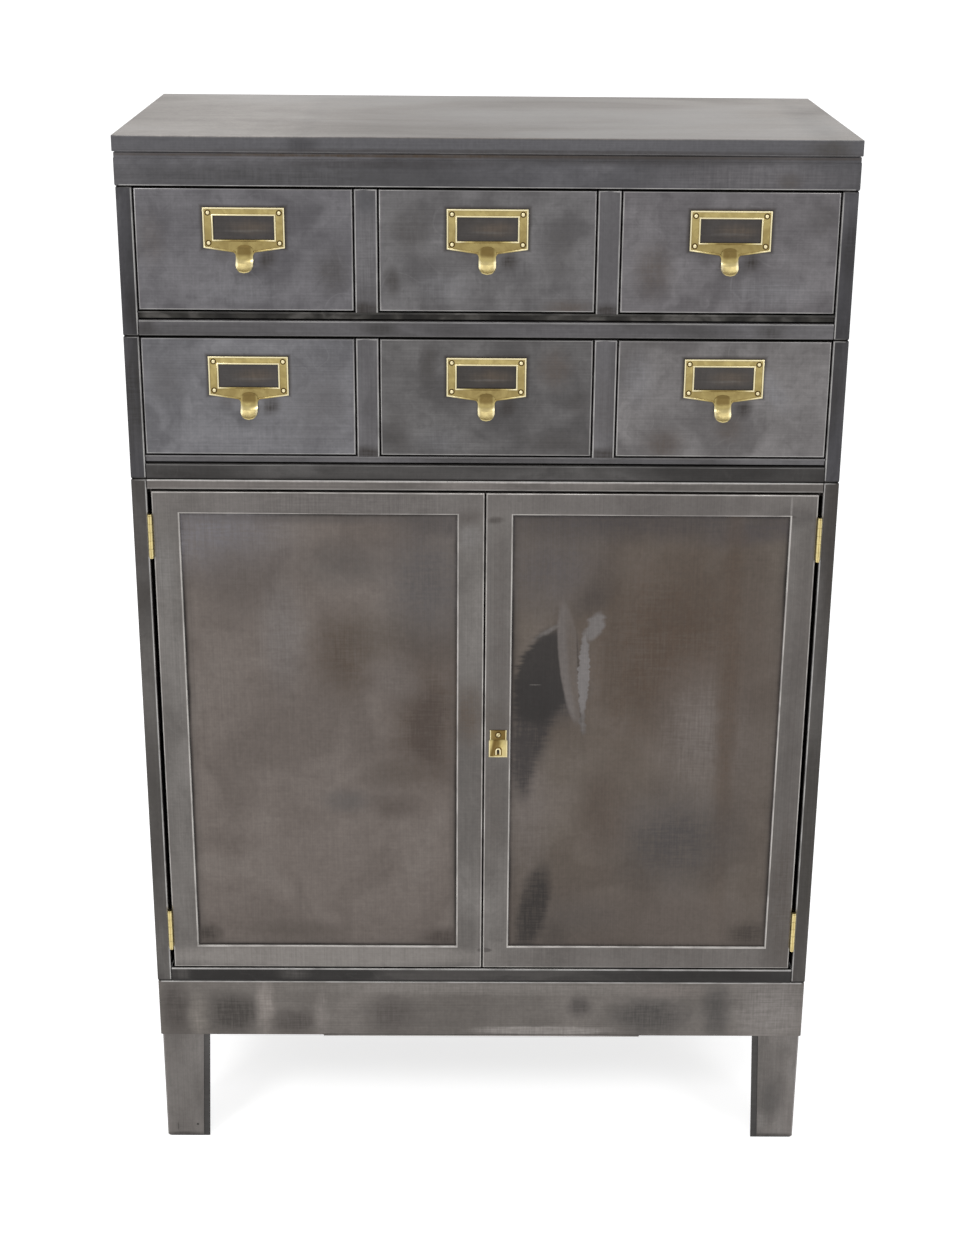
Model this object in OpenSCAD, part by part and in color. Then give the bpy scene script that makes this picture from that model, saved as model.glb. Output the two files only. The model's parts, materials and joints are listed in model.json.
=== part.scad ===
// Stacking steel cabinet: cap, two drawer sections, a two-door cupboard section and a base on angle legs.
// Millimetres. +Z is up, the front faces -Y, and the origin is on the floor under the middle of the
// whole outline, pulls included.

/* [Cabinet] */
// Width of the stacked sections
body_w = 838; // [720:1:960]
// Depth of the stacked sections, from front face to back
body_d = 419; // [360:1:500]
// Thickness of the steel sheet
sheet = 1.2; // [0.9:0.1:1.6]
// Outside radius of a pressed edge
edge_r = 2.4; // [1.8:0.1:3.2]
// Width of the front posts
post_w = 18.5; // [16:0.5:24]
// Depth of the return behind a post
post_d = 24; // [18:1:34]
// Seam between a rail and the posts beside it
seam = 0.5; // [0.2:0.1:0.8]

/* [Cap] */
// Height of the top slab
slab_h = 18; // [14:0.5:26]
// How far the slab stands past the sections
slab_over = 1.6; // [1:0.1:6]
// Height of the shadow line under the slab
reveal_h = 1.5; // [1:0.1:4]
// Depth of the shadow line, from the slab's face
reveal_d = 3.6; // [2.5:0.1:6]
// Height of the frieze band
frieze_h = 37; // [28:0.5:60]
// How far the frieze stands past the sections
frieze_over = 0.8; // [0.2:0.1:1.4]
// Height of the sunk strip along the top of the frieze
fillet_h = 6; // [3:0.5:10]
// Depth of the sunk strip
fillet_d = 0.5; // [0.2:0.1:0.8]

/* [Drawer sections] */
// Height of one drawer section
section_h = 171; // [150:1:220]
// Drawers side by side
columns = 3; // [2:1:4]
// Width of the stile between two drawers
divider_w = 26.5; // [20:0.5:36]
// Height of the rail under the drawers
rail_h = 19.2; // [14:0.2:28]
// Height of the sunk groove above the rail
groove_h = 7.8; // [5:0.2:12]
// Depth of the groove
groove_d = 4.2; // [3.6:0.1:6]
// Dark slot left open at the bottom of the groove
slot_h = 1.6; // [1:0.1:2.5]
// Height of the lip at the front of the floor
lip_h = 2.1; // [1.8:0.1:3]
// Gap round a drawer front
drawer_gap = 1.5; // [1:0.1:2.5]
// Gap above a drawer front
drawer_top_gap = 1.2; // [0.8:0.1:2]

/* [Drawers] */
// Thickness of the hollow drawer front
front_t = 12; // [9:0.5:18]
// Width of the flange round the back of a drawer front
front_flange = 11; // [9:0.5:16]
// Gap between the tray and the side of the opening
tray_side_gap = 6; // [5:0.5:8]
// Gap between the tray and the back of the section
tray_back_gap = 12; // [10:1:30]
// Height of the tray's sides
tray_h = 104; // [70:1:120]
// Height of the hem along the top of the tray's sides
tray_hem = 7; // [4:0.5:10]
// Height of the runners above the section floor
runner_h = 6; // [5:0.5:8]
// Height of the guides above the runners
guide_h = 8; // [5:1:14]
// Width of a guide's foot
guide_foot = 6; // [5:0.5:6.5]
// Width of a runner
runner_w = 10; // [8:1:16]
// Running clearance of sliding pieces
slide_clear = 0.3; // [0.2:0.1:0.8]
// Distance from the front face to the drawer stop
stop_y = 60; // [44:1:90]
// Height of the stop lug, under the tray
stop_h = 3.4; // [2.4:0.2:3.8]
// Width of the stop lug
stop_w = 24; // [16:1:60]
// Width of the tab that meets it
tab_stop_w = 16; // [10:1:60]

/* [Card-holder pulls] */
// Width of the frame
pull_w = 92.5; // [76:0.5:110]
// Height of the frame at its lower corners
pull_h = 45.7; // [40:0.1:52]
// Distance from the drawer's top edge to the frame
pull_drop = 21.5; // [12:0.5:30]
// Width of the card window
window_w = 69; // [50:0.5:76]
// Height of the card window
window_h = 27; // [20:0.5:30]
// Height of the border above the window
window_top = 9.3; // [8:0.1:12]
// Thickness of the brass plate
pull_t = 1.3; // [1:0.1:1.8]
// Width of the raised rims
rim_w = 1.9; // [1.4:0.1:2.4]
// Height of the raised rims above the plate
rim_h = 1.1; // [0.6:0.1:1.6]
// How far the plate deepens from its corners to the neck
neck_drop = 5.2; // [3:0.2:8]
// Width of the finger tab
tab_w = 19.5; // [14:0.5:26]
// Radius of the fillets where the tab leaves the plate
neck_r = 4; // [2:0.5:6]
// Length of the tab below the plate's corners, seen from the front
tab_drop = 24.5; // [20:0.5:30]
// How far the tip of the tab stands off the drawer
tab_reach = 15; // [12:0.5:20]
// Radius of the tab's curl
tab_curl = 15; // [10:0.5:18]
// Diameter of a rivet head
rivet_d = 4.6; // [3.6:0.1:5]
// Radius of a rivet's shank
rivet_r = 1.2; // [1:0.1:1.5]
// Distance from the frame's side and top edges to a rivet
rivet_edge = 6; // [5.6:0.1:7]
// Distance from the frame's lower corners up to a rivet
rivet_foot = 4.3; // [4:0.1:6]
// Clearance round rivets and screws in their holes
hole_clear = 0.05; // [0.03:0.01:0.08]

/* [Cupboard section] */
// Height of the cupboard section
cupboard_h = 674.3; // [500:0.1:900]
// Height of the rail above the doors
top_rail_h = 12.9; // [10:0.1:24]
// Depth of that rail's top flange
top_rail_d = 54; // [48:1:80]
// Height of the rail below the doors
bottom_rail_h = 19; // [14:0.5:30]
// Height of the shelf above the section's foot
shelf_z = 330; // [200:1:440]
// Height of the shelf's turned-down edges
shelf_h = 22; // [16:1:30]
// Distance from the front face to the shelf
shelf_y = 44; // [38:1:80]
// Gap between the shelf and the panels beside it
shelf_gap = 1; // [0.6:0.1:2]
// Length of a shelf clip
clip_l = 30; // [20:1:50]
// Depth of the shelf clip's ledge
clip_w = 12; // [8:1:18]
// How far the door stop reaches below the top rail
door_stop_h = 9; // [6:0.5:14]

/* [Doors] */
// Thickness of a door
door_d = 19; // [16:0.5:24]
// Gap beside the hinges
hinge_gap = 4.4; // [4:0.1:5]
// Gap between the doors
centre_gap = 1.4; // [1.3:0.1:3]
// Gap above the doors
door_gap_top = 2.3; // [1.5:0.1:4]
// Gap below the doors
door_gap_bottom = 1.8; // [1.2:0.1:4]
// Width of the stiles round the panel
stile_w = 33; // [30:0.5:44]
// Width of the door's top rail
door_top_w = 28; // [26:0.5:44]
// Width of the door's bottom rail
door_bottom_w = 31.4; // [28:0.1:44]
// Depth of the sunk panel
panel_sunk = 3; // [2.6:0.1:4]
// Overlap of the panel behind its frame
panel_lap = 6; // [4:0.5:8]
// Width of the flange round the back of a door
door_flange = 27; // [24:0.5:29]
// Opening angle of the doors
door_swing = 180; // [90:5:180]

/* [Hinges] */
// Height of a butt hinge
hinge_h = 51; // [40:1:76]
// Distance from the door's ends to the hinge's middle
hinge_inset = 55; // [45:1:120]
// Radius of the knuckles
knuckle_r = 2.9; // [2.6:0.1:3.2]
// Radius of the hinge pin
pin_r = 1.5; // [1.2:0.1:1.7]
// Radial running clearance of the pin
pin_clear = 0.05; // [0.02:0.01:0.08]
// Distance of the pin in front of the doors
pin_front = 2.6; // [2:0.1:3]
// Thickness of the hinge leaves
leaf_t = 1.3; // [1:0.1:1.5]
// Depth of the hinge leaves
leaf_d = 18; // [12:1:22]
// Knuckles in one hinge
knuckles = 5; // [3:2:5]
// Gap between two knuckles
knuckle_gap = 0.3; // [0.2:0.1:0.5]

/* [Lock and bolt] */
// Width of the lock plate
lock_w = 23.4; // [20:0.2:24]
// Height of the lock plate
lock_h = 36.4; // [32:0.2:44]
// Height of the lock plate's middle above the door's foot
lock_z = 315.3; // [200:0.1:400]
// Thickness of the lock plate's raised half
lock_t = 2.2; // [1.8:0.1:3]
// Height of the dished half that holds the screw
dish_h = 12.6; // [11:0.2:15]
// Radius of the lock screw's head
lock_screw_r = 3; // [2.6:0.1:3.6]
// Width of the keyhole collar
collar_w = 6.8; // [6:0.1:8]
// Length of the keyhole collar below its round top
collar_l = 6.4; // [4:0.1:7]
// Height of the keyhole collar above the plate
collar_h = 0.9; // [0.5:0.1:1.4]
// Width of the slot in the keyhole
key_slot = 1.6; // [1.2:0.1:2]
// Depth of the lock bolt behind the door's face
bolt_back = 5.6; // [5:0.1:8]
// Height of the lock bolt
bolt_h = 10; // [8:0.5:14]
// Thickness of the lock bolt
bolt_t = 3; // [2:0.5:4]
// Throw of the lock bolt
bolt_throw = 8; // [6:0.5:9]
// Radius of the bolt that holds the left door
rod_r = 3; // [2.5:0.1:3.5]
// Length of the left door's bolt
rod_l = 70; // [60:1:110]
// Throw of the left door's bolt
rod_throw = 9; // [7:0.5:12]
// Width of the plate that guides it
guide_plate_w = 20; // [16:0.5:22]
// Height of each staple on that plate
staple_h = 8; // [5:0.5:12]
// Length of the bolt's knob
knob_l = 8; // [6:0.5:9]

/* [Base] */
// Height of the apron
apron_h = 79.4; // [60:0.2:110]
// How far the apron stands in from the sections
apron_in = 0.5; // [0.3:0.1:1.5]
// Thickness of the base's sheet
base_t = 2.2; // [1.2:0.1:3]
// Depth of the apron's top flange
apron_flange = 24; // [20:1:40]
// Length of the lip under the middle of the front apron
apron_lip_l = 412; // [300:2:560]
// Depth of that lip
apron_lip_d = 10; // [6:0.5:16]
// Height of that lip
apron_lip_h = 2.4; // [1:0.1:4]
// Height of the legs below the apron
leg_h = 157; // [100:1:220]
// Width of a leg's cover under the apron
leg_w = 53.6; // [46:0.2:66]
// Width of a leg's cover at the floor
foot_w = 47.8; // [36:0.2:52]
// How far the angle iron shows beside its cover
angle_show = 8; // [3:0.5:9]
// Thickness of the angle iron
angle_t = 2.5; // [2:0.1:4]
// Gap between a leg's cover and the floor
cover_gap = 2; // [1:0.5:4]
// How far a cover reaches up behind the apron
cover_up = 30; // [15:1:44]

/* [Section bolts] */
// Radius of the bolts that tie the sections together
tie_r = 3; // [2.5:0.1:3.5]
// Clearance of the bolts in their holes
tie_clear = 0.4; // [0.3:0.1:0.6]
// Distance from the front and back to the nearest tie bolt
tie_y = 70; // [50:1:100]

/* [Hidden] */

$fn = 48;
cut = 1;                 // how far a cut runs past the face it opens
bend_steps = 5;          // straight steps round a bend
runner_bend = 1.6;       // outside radius of the runners' folds
hem_gap = 0.2;           // between the two layers of a hem
tab_clear = 1.2;         // under the tray's tab
weld_gap = 0.05;         // between two sheets that meet in a weld
steel = "#6d6b69";
inner_steel = "#55534f";
brass = "#b09a58";

// Levels of the joints between the sections
cupboard_z = leg_h + apron_h;
lower_z = cupboard_z + cupboard_h;
upper_z = lower_z + section_h;
cap_z = upper_z + section_h;
slab_z = cap_z + frieze_h + reveal_h;

// Clear size inside the posts and panels
opening_w = body_w - 2 * post_w;
skin_w = body_w - 2 * sheet;
back_y = body_d - 2 * sheet;

// Drawer openings
floor_top = rail_h + groove_h + lip_h;
drawer_z = floor_top + drawer_gap;
drawer_h = section_h - drawer_top_gap - drawer_z;
bay_w = (opening_w - (columns - 1) * divider_w) / columns;
drawer_w = bay_w - 2 * drawer_gap;
tray_w = drawer_w - 2 * tray_side_gap;
tray_z = floor_top + runner_h + slide_clear;
tray_end = back_y - tray_back_gap;
tray_l = tray_end - front_t;

// Door sizes
door_w = (opening_w - 2 * hinge_gap - centre_gap) / 2;
door_z = cupboard_z + bottom_rail_h + door_gap_bottom;
door_top = lower_z - top_rail_h - door_gap_top;
door_h = door_top - door_z;
door_x = centre_gap / 2;                       // meeting edge of the right door
pin_x = opening_w / 2 - hinge_gap / 2;
hinge_zs = [door_z + hinge_inset, door_top - hinge_inset];
knuckle_h = (hinge_h - (knuckles - 1) * knuckle_gap) / knuckles;
leaf_clear = knuckle_r + 0.4;
panel_lip = 2 * sheet;
latch_z = door_z + lock_z;
lock_x = door_x + stile_w / 2 + 0.8;
collar_z = -8.6;                               // middle of the collar's round top, from the plate's middle
screw_z = lock_h / 2 - dish_h / 2 - 0.2;
case_gap = 0.2;                                // between the lock case and the meeting edge's wall
case_w = stile_w - panel_lap - sheet - case_gap - 1;
rod_x = -door_x - stile_w / 2;
rod_y = door_d + rod_r + 2;
rod_top = lower_z - top_rail_h - door_stop_h - 1;

// The legs stand inside the apron's sheet
leg_in = apron_in + base_t;

// Pull outline
tab_end = pull_h + tab_drop;
neck_z = pull_h + neck_drop;

// The front face stands where the outline, pulls included, is centred over the origin
face_y = (tab_reach - body_d - slab_over) / 2;

// ---- profiles -------------------------------------------------------------------------------

function unit(v) = v / norm(v);
function left_of(v) = [-v.y, v.x];
function turn(a, b) = atan2(a.x * b.y - a.y * b.x, a * b);
function spin(v, angle) = [v.x * cos(angle) - v.y * sin(angle), v.x * sin(angle) + v.y * cos(angle)];

// Points and normals along a folded line: each inner corner of the path becomes an arc of radius r.
function folds(path, r, steps) = [
    for (i = [0 : len(path) - 1])
        let (
            last = len(path) - 1,
            u = unit(i == 0 ? path[1] - path[0] : path[i] - path[i - 1]),
            v = unit(i == last ? path[i] - path[i - 1] : path[i + 1] - path[i]),
            angle = turn(u, v),
            side = sign(angle),
            centre = path[i] - u * r * abs(tan(angle / 2)) + left_of(u) * side * r
        )
        each (i == 0 || i == last)
            ? [[path[i], left_of(u)]]
            : [for (k = [0 : steps]) let (n = spin(left_of(u), angle * k / steps)) [centre - n * side * r, n]]
];

// Section of a sheet folded along a path, with its thickness to the left of the path.
function folded_section(path, t, r, steps = bend_steps) =
    let (f = folds(path, r, steps), last = len(f) - 1)
    concat([for (p = f) p[0]], [for (i = [last : -1 : 0]) f[i][0] + f[i][1] * t]);

// Rectangle with its own radius at each corner: lower left, lower right, upper right, upper left.
function rounded_rect(w, h, radii) = [
    for (i = [0 : 3])
        let (
            r = radii[i],
            x = (i == 0 || i == 3) ? r : w - r,
            y = i < 2 ? r : h - r
        )
        each r == 0
            ? [[x, y]]
            : [for (k = [0 : bend_steps]) [x, y] + r * [cos(180 + 90 * i + 90 * k / bend_steps),
                                                      sin(180 + 90 * i + 90 * k / bend_steps)]]
];

// ---- helpers --------------------------------------------------------------------------------

// Extrudes a section drawn as (Y, Z) along X
module along_x(l) {
    rotate([90, 0, 90]) linear_extrude(l) children();
}

// Extrudes a section drawn as (X, Z) along Y
module along_y(l) {
    translate([0, l, 0]) rotate([90, 0, 0]) linear_extrude(l) children();
}

// Box with pressed edges. upright, deep and cross say which edges along Z, Y and X are round.
module pressed(size, r, upright = [1, 1, 0, 0], deep = [0, 0, 0, 0], cross = [1, 0, 0, 1]) {
    intersection() {
        linear_extrude(size.z) polygon(rounded_rect(size.x, size.y, upright * r));
        along_y(size.y) polygon(rounded_rect(size.x, size.z, deep * r));
        along_x(size.x) polygon(rounded_rect(size.y, size.z, cross * r));
    }
}

none = [0, 0, 0, 0];     // no round edges

module mirrored(side) {
    if (side > 0) mirror([1, 0, 0]) children();
    else children();
}

// Places of the drawers in one section, from the left
function bay_x(column) = -opening_w / 2 + column * (bay_w + divider_w);

// ---- sections -------------------------------------------------------------------------------

// Side of a section: skin, front post and flanges folded from one sheet. Drawn for the left side.
module side_panel(h) {
    translate([-body_w / 2, 0, 0]) difference() {
        pressed([post_w, body_d, h], edge_r, [1, 1, 0, 1], [1, 0, 0, 1], [1, 0, 0, 1]);
        translate([sheet, sheet, sheet])
            cube([post_w - 2 * sheet, body_d - 2 * sheet, h - 2 * sheet]);
        translate([sheet, post_d, sheet])
            cube([post_w, body_d - post_d - sheet, h - 2 * sheet]);
        for (y = [tie_y, body_d - tie_y])
            translate([post_w / 2, y, -cut]) cylinder(r = tie_r + tie_clear, h = h + 2 * cut);
    }
}

module back_panel(h) {
    translate([-skin_w / 2, back_y, sheet]) cube([skin_w, sheet, h - 2 * sheet]);
}

// Floor of a drawer section, with its front lip, the back of the groove and the drawer stops
module drawer_floor() {
    front_w = opening_w - 2 * seam;
    translate([-front_w / 2, 0, floor_top - lip_h])
        pressed([front_w, groove_d + sheet, lip_h], lip_h / 3, [0, 0, 0, 0]);
    translate([-front_w / 2, groove_d, rail_h + slot_h])
        cube([front_w, sheet, floor_top - rail_h - slot_h]);
    translate([-front_w / 2, sheet, floor_top - sheet])
        cube([front_w, post_d + sheet, sheet]);
    translate([-skin_w / 2, post_d, floor_top - sheet])
        cube([skin_w, back_y - post_d, sheet]);
    for (side = [-1, 1])
        translate([side * (skin_w - sheet) / 2 - sheet / 2, post_d, rail_h - sheet])
            cube([sheet, back_y - post_d, floor_top - rail_h + sheet]);
    for (column = [0 : columns - 1])
        translate([bay_x(column) + (bay_w - stop_w) / 2, stop_y, floor_top - sheet])
            cube([stop_w, 2 * sheet, stop_h + sheet]);
}

// Rail under the drawers: a channel open to the back
module drawer_rail() {
    rail_w = opening_w - 2 * seam;
    path = [[edge_r + 0.4, rail_h], [0, rail_h], [0, 0], [post_d, 0]];
    translate([-rail_w / 2, 0, 0]) along_x(rail_w) polygon(folded_section(path, sheet, edge_r));
}

// Partitions between the drawers: a hollow stile in front and a web to the back panel
module dividers() {
    h = section_h - drawer_top_gap - floor_top;
    for (column = [1 : columns - 1])
        translate([bay_x(column) - divider_w, 0, floor_top]) {
            difference() {
                pressed([divider_w, post_d, h], edge_r, [1, 1, 0, 0], [0, 0, 0, 0], [0, 0, 0, 1]);
                translate([sheet, sheet, -cut])
                    cube([divider_w - 2 * sheet, post_d, h - sheet + cut]);
            }
            translate([(divider_w - sheet) / 2, sheet / 2, 0]) cube([sheet, back_y - sheet / 2, h]);
        }
}

// What carries one side of a tray: a channel under it and an angle beside it. Drawn for the left side.
module runner() {
    channel = [[runner_w, 0], [runner_w, runner_h], [0, runner_h], [0, 0]];
    guide = [[-slide_clear - guide_foot, 0], [-slide_clear, 0], [-slide_clear, runner_h + guide_h]];
    translate([0, post_d + 2, 0]) along_y(tray_end - post_d - 2) {
        translate([1, 0]) polygon(folded_section(channel, sheet, runner_bend));
        polygon(folded_section(guide, sheet, runner_bend));
    }
}

module runners() {
    for (z = [lower_z, upper_z], column = [0 : columns - 1], side = [-1, 1])
        translate([bay_x(column) + bay_w / 2, 0, z + floor_top])
            mirrored(side) translate([-tray_w / 2, 0, 0]) runner();
}

// Bolts that tie each section to the one below it
module tie_bolts() {
    nut_h = 1.6 * tie_r;
    for (z = [cupboard_z, lower_z, upper_z, cap_z], x = [-1, 1], y = [tie_y, body_d - tie_y]) {
        under = z == cupboard_z ? base_t : sheet;
        translate([x * (body_w - post_w) / 2, y, z]) {
            translate([0, 0, -under - nut_h]) cylinder(r = 1.8 * tie_r, h = nut_h, $fn = 6);
            translate([0, 0, -under - nut_h]) cylinder(r = tie_r, h = nut_h + under + sheet + tie_r);
            translate([0, 0, sheet]) cylinder(r = 1.8 * tie_r, h = 1.3 * tie_r, $fn = 6);
        }
    }
}

// ---- cap ------------------------------------------------------------------------------------

module cap_slab() {
    w = body_w + 2 * slab_over;
    d = body_d + 2 * slab_over;
    color(steel) translate([-w / 2, -slab_over, slab_z]) difference() {
        pressed([w, d, slab_h], 1, [1, 1, 1, 1], [1, 1, 1, 1], [1, 1, 1, 1]);
        translate([sheet, sheet, sheet]) cube([w - 2 * sheet, d - 2 * sheet, slab_h - 2 * sheet]);
        translate([post_w, post_w, -cut]) cube([w - 2 * post_w, d - 2 * post_w, sheet + 2 * cut]);
    }
}

// Band under the slab: four walls with a top flange that carries the slab
module cap_frieze() {
    w = body_w + 2 * frieze_over;
    d = body_d + 2 * frieze_over;
    neck = reveal_d - slab_over + frieze_over;
    color(steel) translate([-w / 2, -frieze_over, cap_z]) difference() {
        union() {
            pressed([w, d, frieze_h], edge_r, [1, 1, 1, 1], [1, 1, 0, 0], [1, 1, 0, 0]);
            translate([neck, neck, 0]) cube([w - 2 * neck, d - 2 * neck, frieze_h + reveal_h]);
        }
        difference() {
            translate([-cut, -cut, frieze_h - fillet_h]) cube([w + 2 * cut, d + 2 * cut, fillet_h]);
            translate([fillet_d, fillet_d, 0]) cube([w - 2 * fillet_d, d - 2 * fillet_d, 2 * frieze_h]);
        }
        translate([sheet, sheet, sheet]) cube([w - 2 * sheet, d - 2 * sheet, frieze_h - 2 * sheet]);
        translate([neck + sheet, neck + sheet, sheet])
            cube([w - 2 * (neck + sheet), d - 2 * (neck + sheet), frieze_h + reveal_h - 2 * sheet]);
        translate([post_w, post_w, -cut])
            cube([w - 2 * post_w, d - 2 * post_w, frieze_h + reveal_h + 2 * cut]);
        for (x = [-1, 1], y = [tie_y, body_d - tie_y])
            translate([w / 2 + x * (body_w - post_w) / 2, frieze_over + y, -cut])
                cylinder(r = tie_r + tie_clear, h = 2 * sheet + cut);
    }
}

// ---- cupboard section -----------------------------------------------------------------------

// Rail above the doors, with the flange that stops them
module top_rail() {
    rail_w = opening_w - 2 * seam;
    foot = cupboard_h - top_rail_h;
    stop = door_d + slide_clear;
    path = [[top_rail_d, cupboard_h], [0, cupboard_h], [0, foot], [stop, foot], [stop, foot - door_stop_h]];
    color(steel) translate([-rail_w / 2, 0, cupboard_z]) along_x(rail_w)
        polygon(folded_section(path, sheet, edge_r));
}

module bottom_rail() {
    rail_w = opening_w - 2 * seam;
    path = [[post_d + 10, bottom_rail_h], [0, bottom_rail_h], [0, 0], [post_d, 0]];
    color(steel) translate([-rail_w / 2, 0, cupboard_z]) along_x(rail_w)
        polygon(folded_section(path, sheet, edge_r));
}

module cupboard_floor() {
    color(inner_steel) translate([-skin_w / 2, post_d, cupboard_z + bottom_rail_h - 2 * sheet])
        cube([skin_w, back_y - post_d, sheet]);
}

// Shelf with all four edges turned down
module shelf() {
    w = skin_w - 2 * shelf_gap;
    d = back_y - shelf_y - shelf_gap;
    color(inner_steel) translate([-w / 2, shelf_y, cupboard_z + shelf_z]) difference() {
        pressed([w, d, shelf_h], edge_r, [1, 1, 1, 1], [0, 0, 1, 1], [0, 0, 1, 1]);
        translate([sheet, sheet, -cut]) cube([w - 2 * sheet, d - 2 * sheet, shelf_h - sheet + cut]);
    }
}

// Brackets on the side panels, one under each corner of the shelf
module shelf_clips() {
    color(inner_steel)
        for (side = [-1, 1], y = [shelf_y + clip_l, back_y - 2 * clip_l])
            translate([0, y, cupboard_z + shelf_z]) mirrored(side) translate([-skin_w / 2, 0, 0]) {
                translate([0, 0, -clip_w]) cube([shelf_gap * 0.8, clip_l, clip_w + shelf_h]);
                translate([0, 0, -sheet]) cube([clip_w, clip_l, sheet]);
            }
}

// ---- hinges ---------------------------------------------------------------------------------

// One leaf of a hinge whose pin stands on the Z axis, with its plate at +X. The first knuckle is 0.
module hinge_leaf(first) {
    mine = [for (i = [0 : knuckles - 1]) if (i % 2 == first) i];
    others = [for (i = [0 : knuckles - 1]) if (i % 2 != first) i];
    pitch = knuckle_h + knuckle_gap;
    difference() {
        union() {
            translate([hinge_gap / 2 - leaf_t, 0, 0]) cube([leaf_t, pin_front + leaf_d, hinge_h]);
            for (i = mine) translate([0, 0, i * pitch]) cylinder(r = knuckle_r, h = knuckle_h);
        }
        for (i = others)
            translate([0, 0, i * pitch - knuckle_gap])
                cylinder(r = leaf_clear, h = knuckle_h + 2 * knuckle_gap);
        translate([0, 0, -cut]) cylinder(r = pin_r + pin_clear, h = hinge_h + 2 * cut);
    }
}

// Puts a hinge part at both hinges of one side, +1 for the right
module at_hinges(side) {
    for (z = hinge_zs)
        translate([side * pin_x, -pin_front, z - hinge_h / 2]) children();
}

module fixed_leaves() {
    color(brass) {
        at_hinges(1) hinge_leaf(0);
        at_hinges(-1) mirror([1, 0, 0]) hinge_leaf(0);
    }
}

module door_leaves(side) {
    color(brass) at_hinges(side) mirrored(side) hinge_leaf(1);
}

// Pins with a flat round head at each end
module pins() {
    head_h = 1.6;
    color(brass) for (side = [-1, 1]) at_hinges(side) {
        translate([0, 0, -knuckle_gap]) cylinder(r = pin_r, h = hinge_h + 2 * knuckle_gap);
        for (z = [-knuckle_gap - head_h, hinge_h + knuckle_gap])
            translate([0, 0, z]) cylinder(r = knuckle_r * 0.9, h = head_h);
    }
}

// ---- doors ----------------------------------------------------------------------------------

// Section of the window that the sunk panel shows through: straight, with a round front edge
function flare(k) = edge_r * [1 - cos(90 * k / bend_steps), 1 - sin(90 * k / bend_steps)];
function flared(a, b, d) = concat(
    [[a, d]],
    [for (k = [0 : bend_steps]) [a - flare(k).x, flare(k).y]],
    [[a - edge_r, -cut], [b + edge_r, -cut]],
    [for (k = [bend_steps : -1 : 0]) [b + flare(k).x, flare(k).y]],
    [[b, d]]
);

// Hollow frame of a door, drawn with its meeting edge on X = 0 and its hinge edge at door_w
module door_frame() {
    inner_w = [stile_w, door_w - stile_w];
    inner_h = [door_bottom_w, door_h - door_top_w];
    lip_size = [inner_w[1] - inner_w[0] + 2 * panel_lip, panel_sunk, inner_h[1] - inner_h[0] + 2 * panel_lip];
    difference() {
        pressed([door_w, door_d, door_h], edge_r, [1, 1, 0, 0], [0, 0, 0, 0], [1, 0, 0, 1]);
        difference() {
            translate([sheet, sheet, sheet])
                cube([door_w - 2 * sheet, door_d - 2 * sheet, door_h - 2 * sheet]);
            translate([inner_w[0] - panel_lip, 0, inner_h[0] - panel_lip]) cube(lip_size);
        }
        intersection() {
            linear_extrude(door_h) polygon(flared(inner_w[0], inner_w[1], door_d));
            along_x(door_w) polygon([for (p = flared(inner_h[0], inner_h[1], door_d)) [p.y, p.x]]);
        }
        translate([door_flange, door_d / 2, door_flange])
            cube([door_w - 2 * door_flange, door_d, door_h - 2 * door_flange]);
    }
}

module door_panel() {
    w = door_w - 2 * stile_w + 2 * panel_lap;
    h = door_h - door_top_w - door_bottom_w + 2 * panel_lap;
    translate([stile_w - panel_lap, panel_sunk, door_bottom_w - panel_lap]) cube([w, sheet, h]);
}

// Slot for the lock bolt through a door's meeting edge
module bolt_slot() {
    translate([-cut, bolt_back - slide_clear, lock_z - bolt_h / 2 - slide_clear])
        cube([sheet + 2 * cut, bolt_t + 2 * slide_clear, bolt_h + 2 * slide_clear]);
}

module left_frame() {
    color(steel) translate([-door_x, 0, door_z]) mirror([1, 0, 0]) difference() {
        door_frame();
        bolt_slot();
    }
}

module right_frame() {
    color(steel) translate([door_x, 0, door_z]) difference() {
        door_frame();
        bolt_slot();
        translate([lock_x - door_x, -cut, lock_z]) {
            keyhole(sheet + 2 * cut, 0.6);
            screw_hole(sheet + 2 * cut);
        }
    }
}

module left_panel() {
    color(steel) translate([-door_x, 0, door_z]) mirror([1, 0, 0]) door_panel();
}

module right_panel() {
    color(steel) translate([door_x, 0, door_z]) door_panel();
}

// ---- lock and bolt --------------------------------------------------------------------------

// Keyhole cut towards +Y, drawn from the middle of the lock plate
module keyhole(l, grow = 0) {
    slot_l = key_slot * 2.2 + grow;
    translate([0, 0, collar_z]) {
        rotate([-90, 0, 0]) cylinder(r = key_slot * 0.75 + grow, h = l);
        translate([-key_slot / 2 - grow, 0, -slot_l]) cube([key_slot + 2 * grow, l, slot_l]);
    }
}

// Hole for the lock's screw, cut towards +Y
module screw_hole(l) {
    translate([0, 0, screw_z]) rotate([-90, 0, 0]) cylinder(r = lock_screw_r / 2 + hole_clear, h = l);
}

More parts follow.
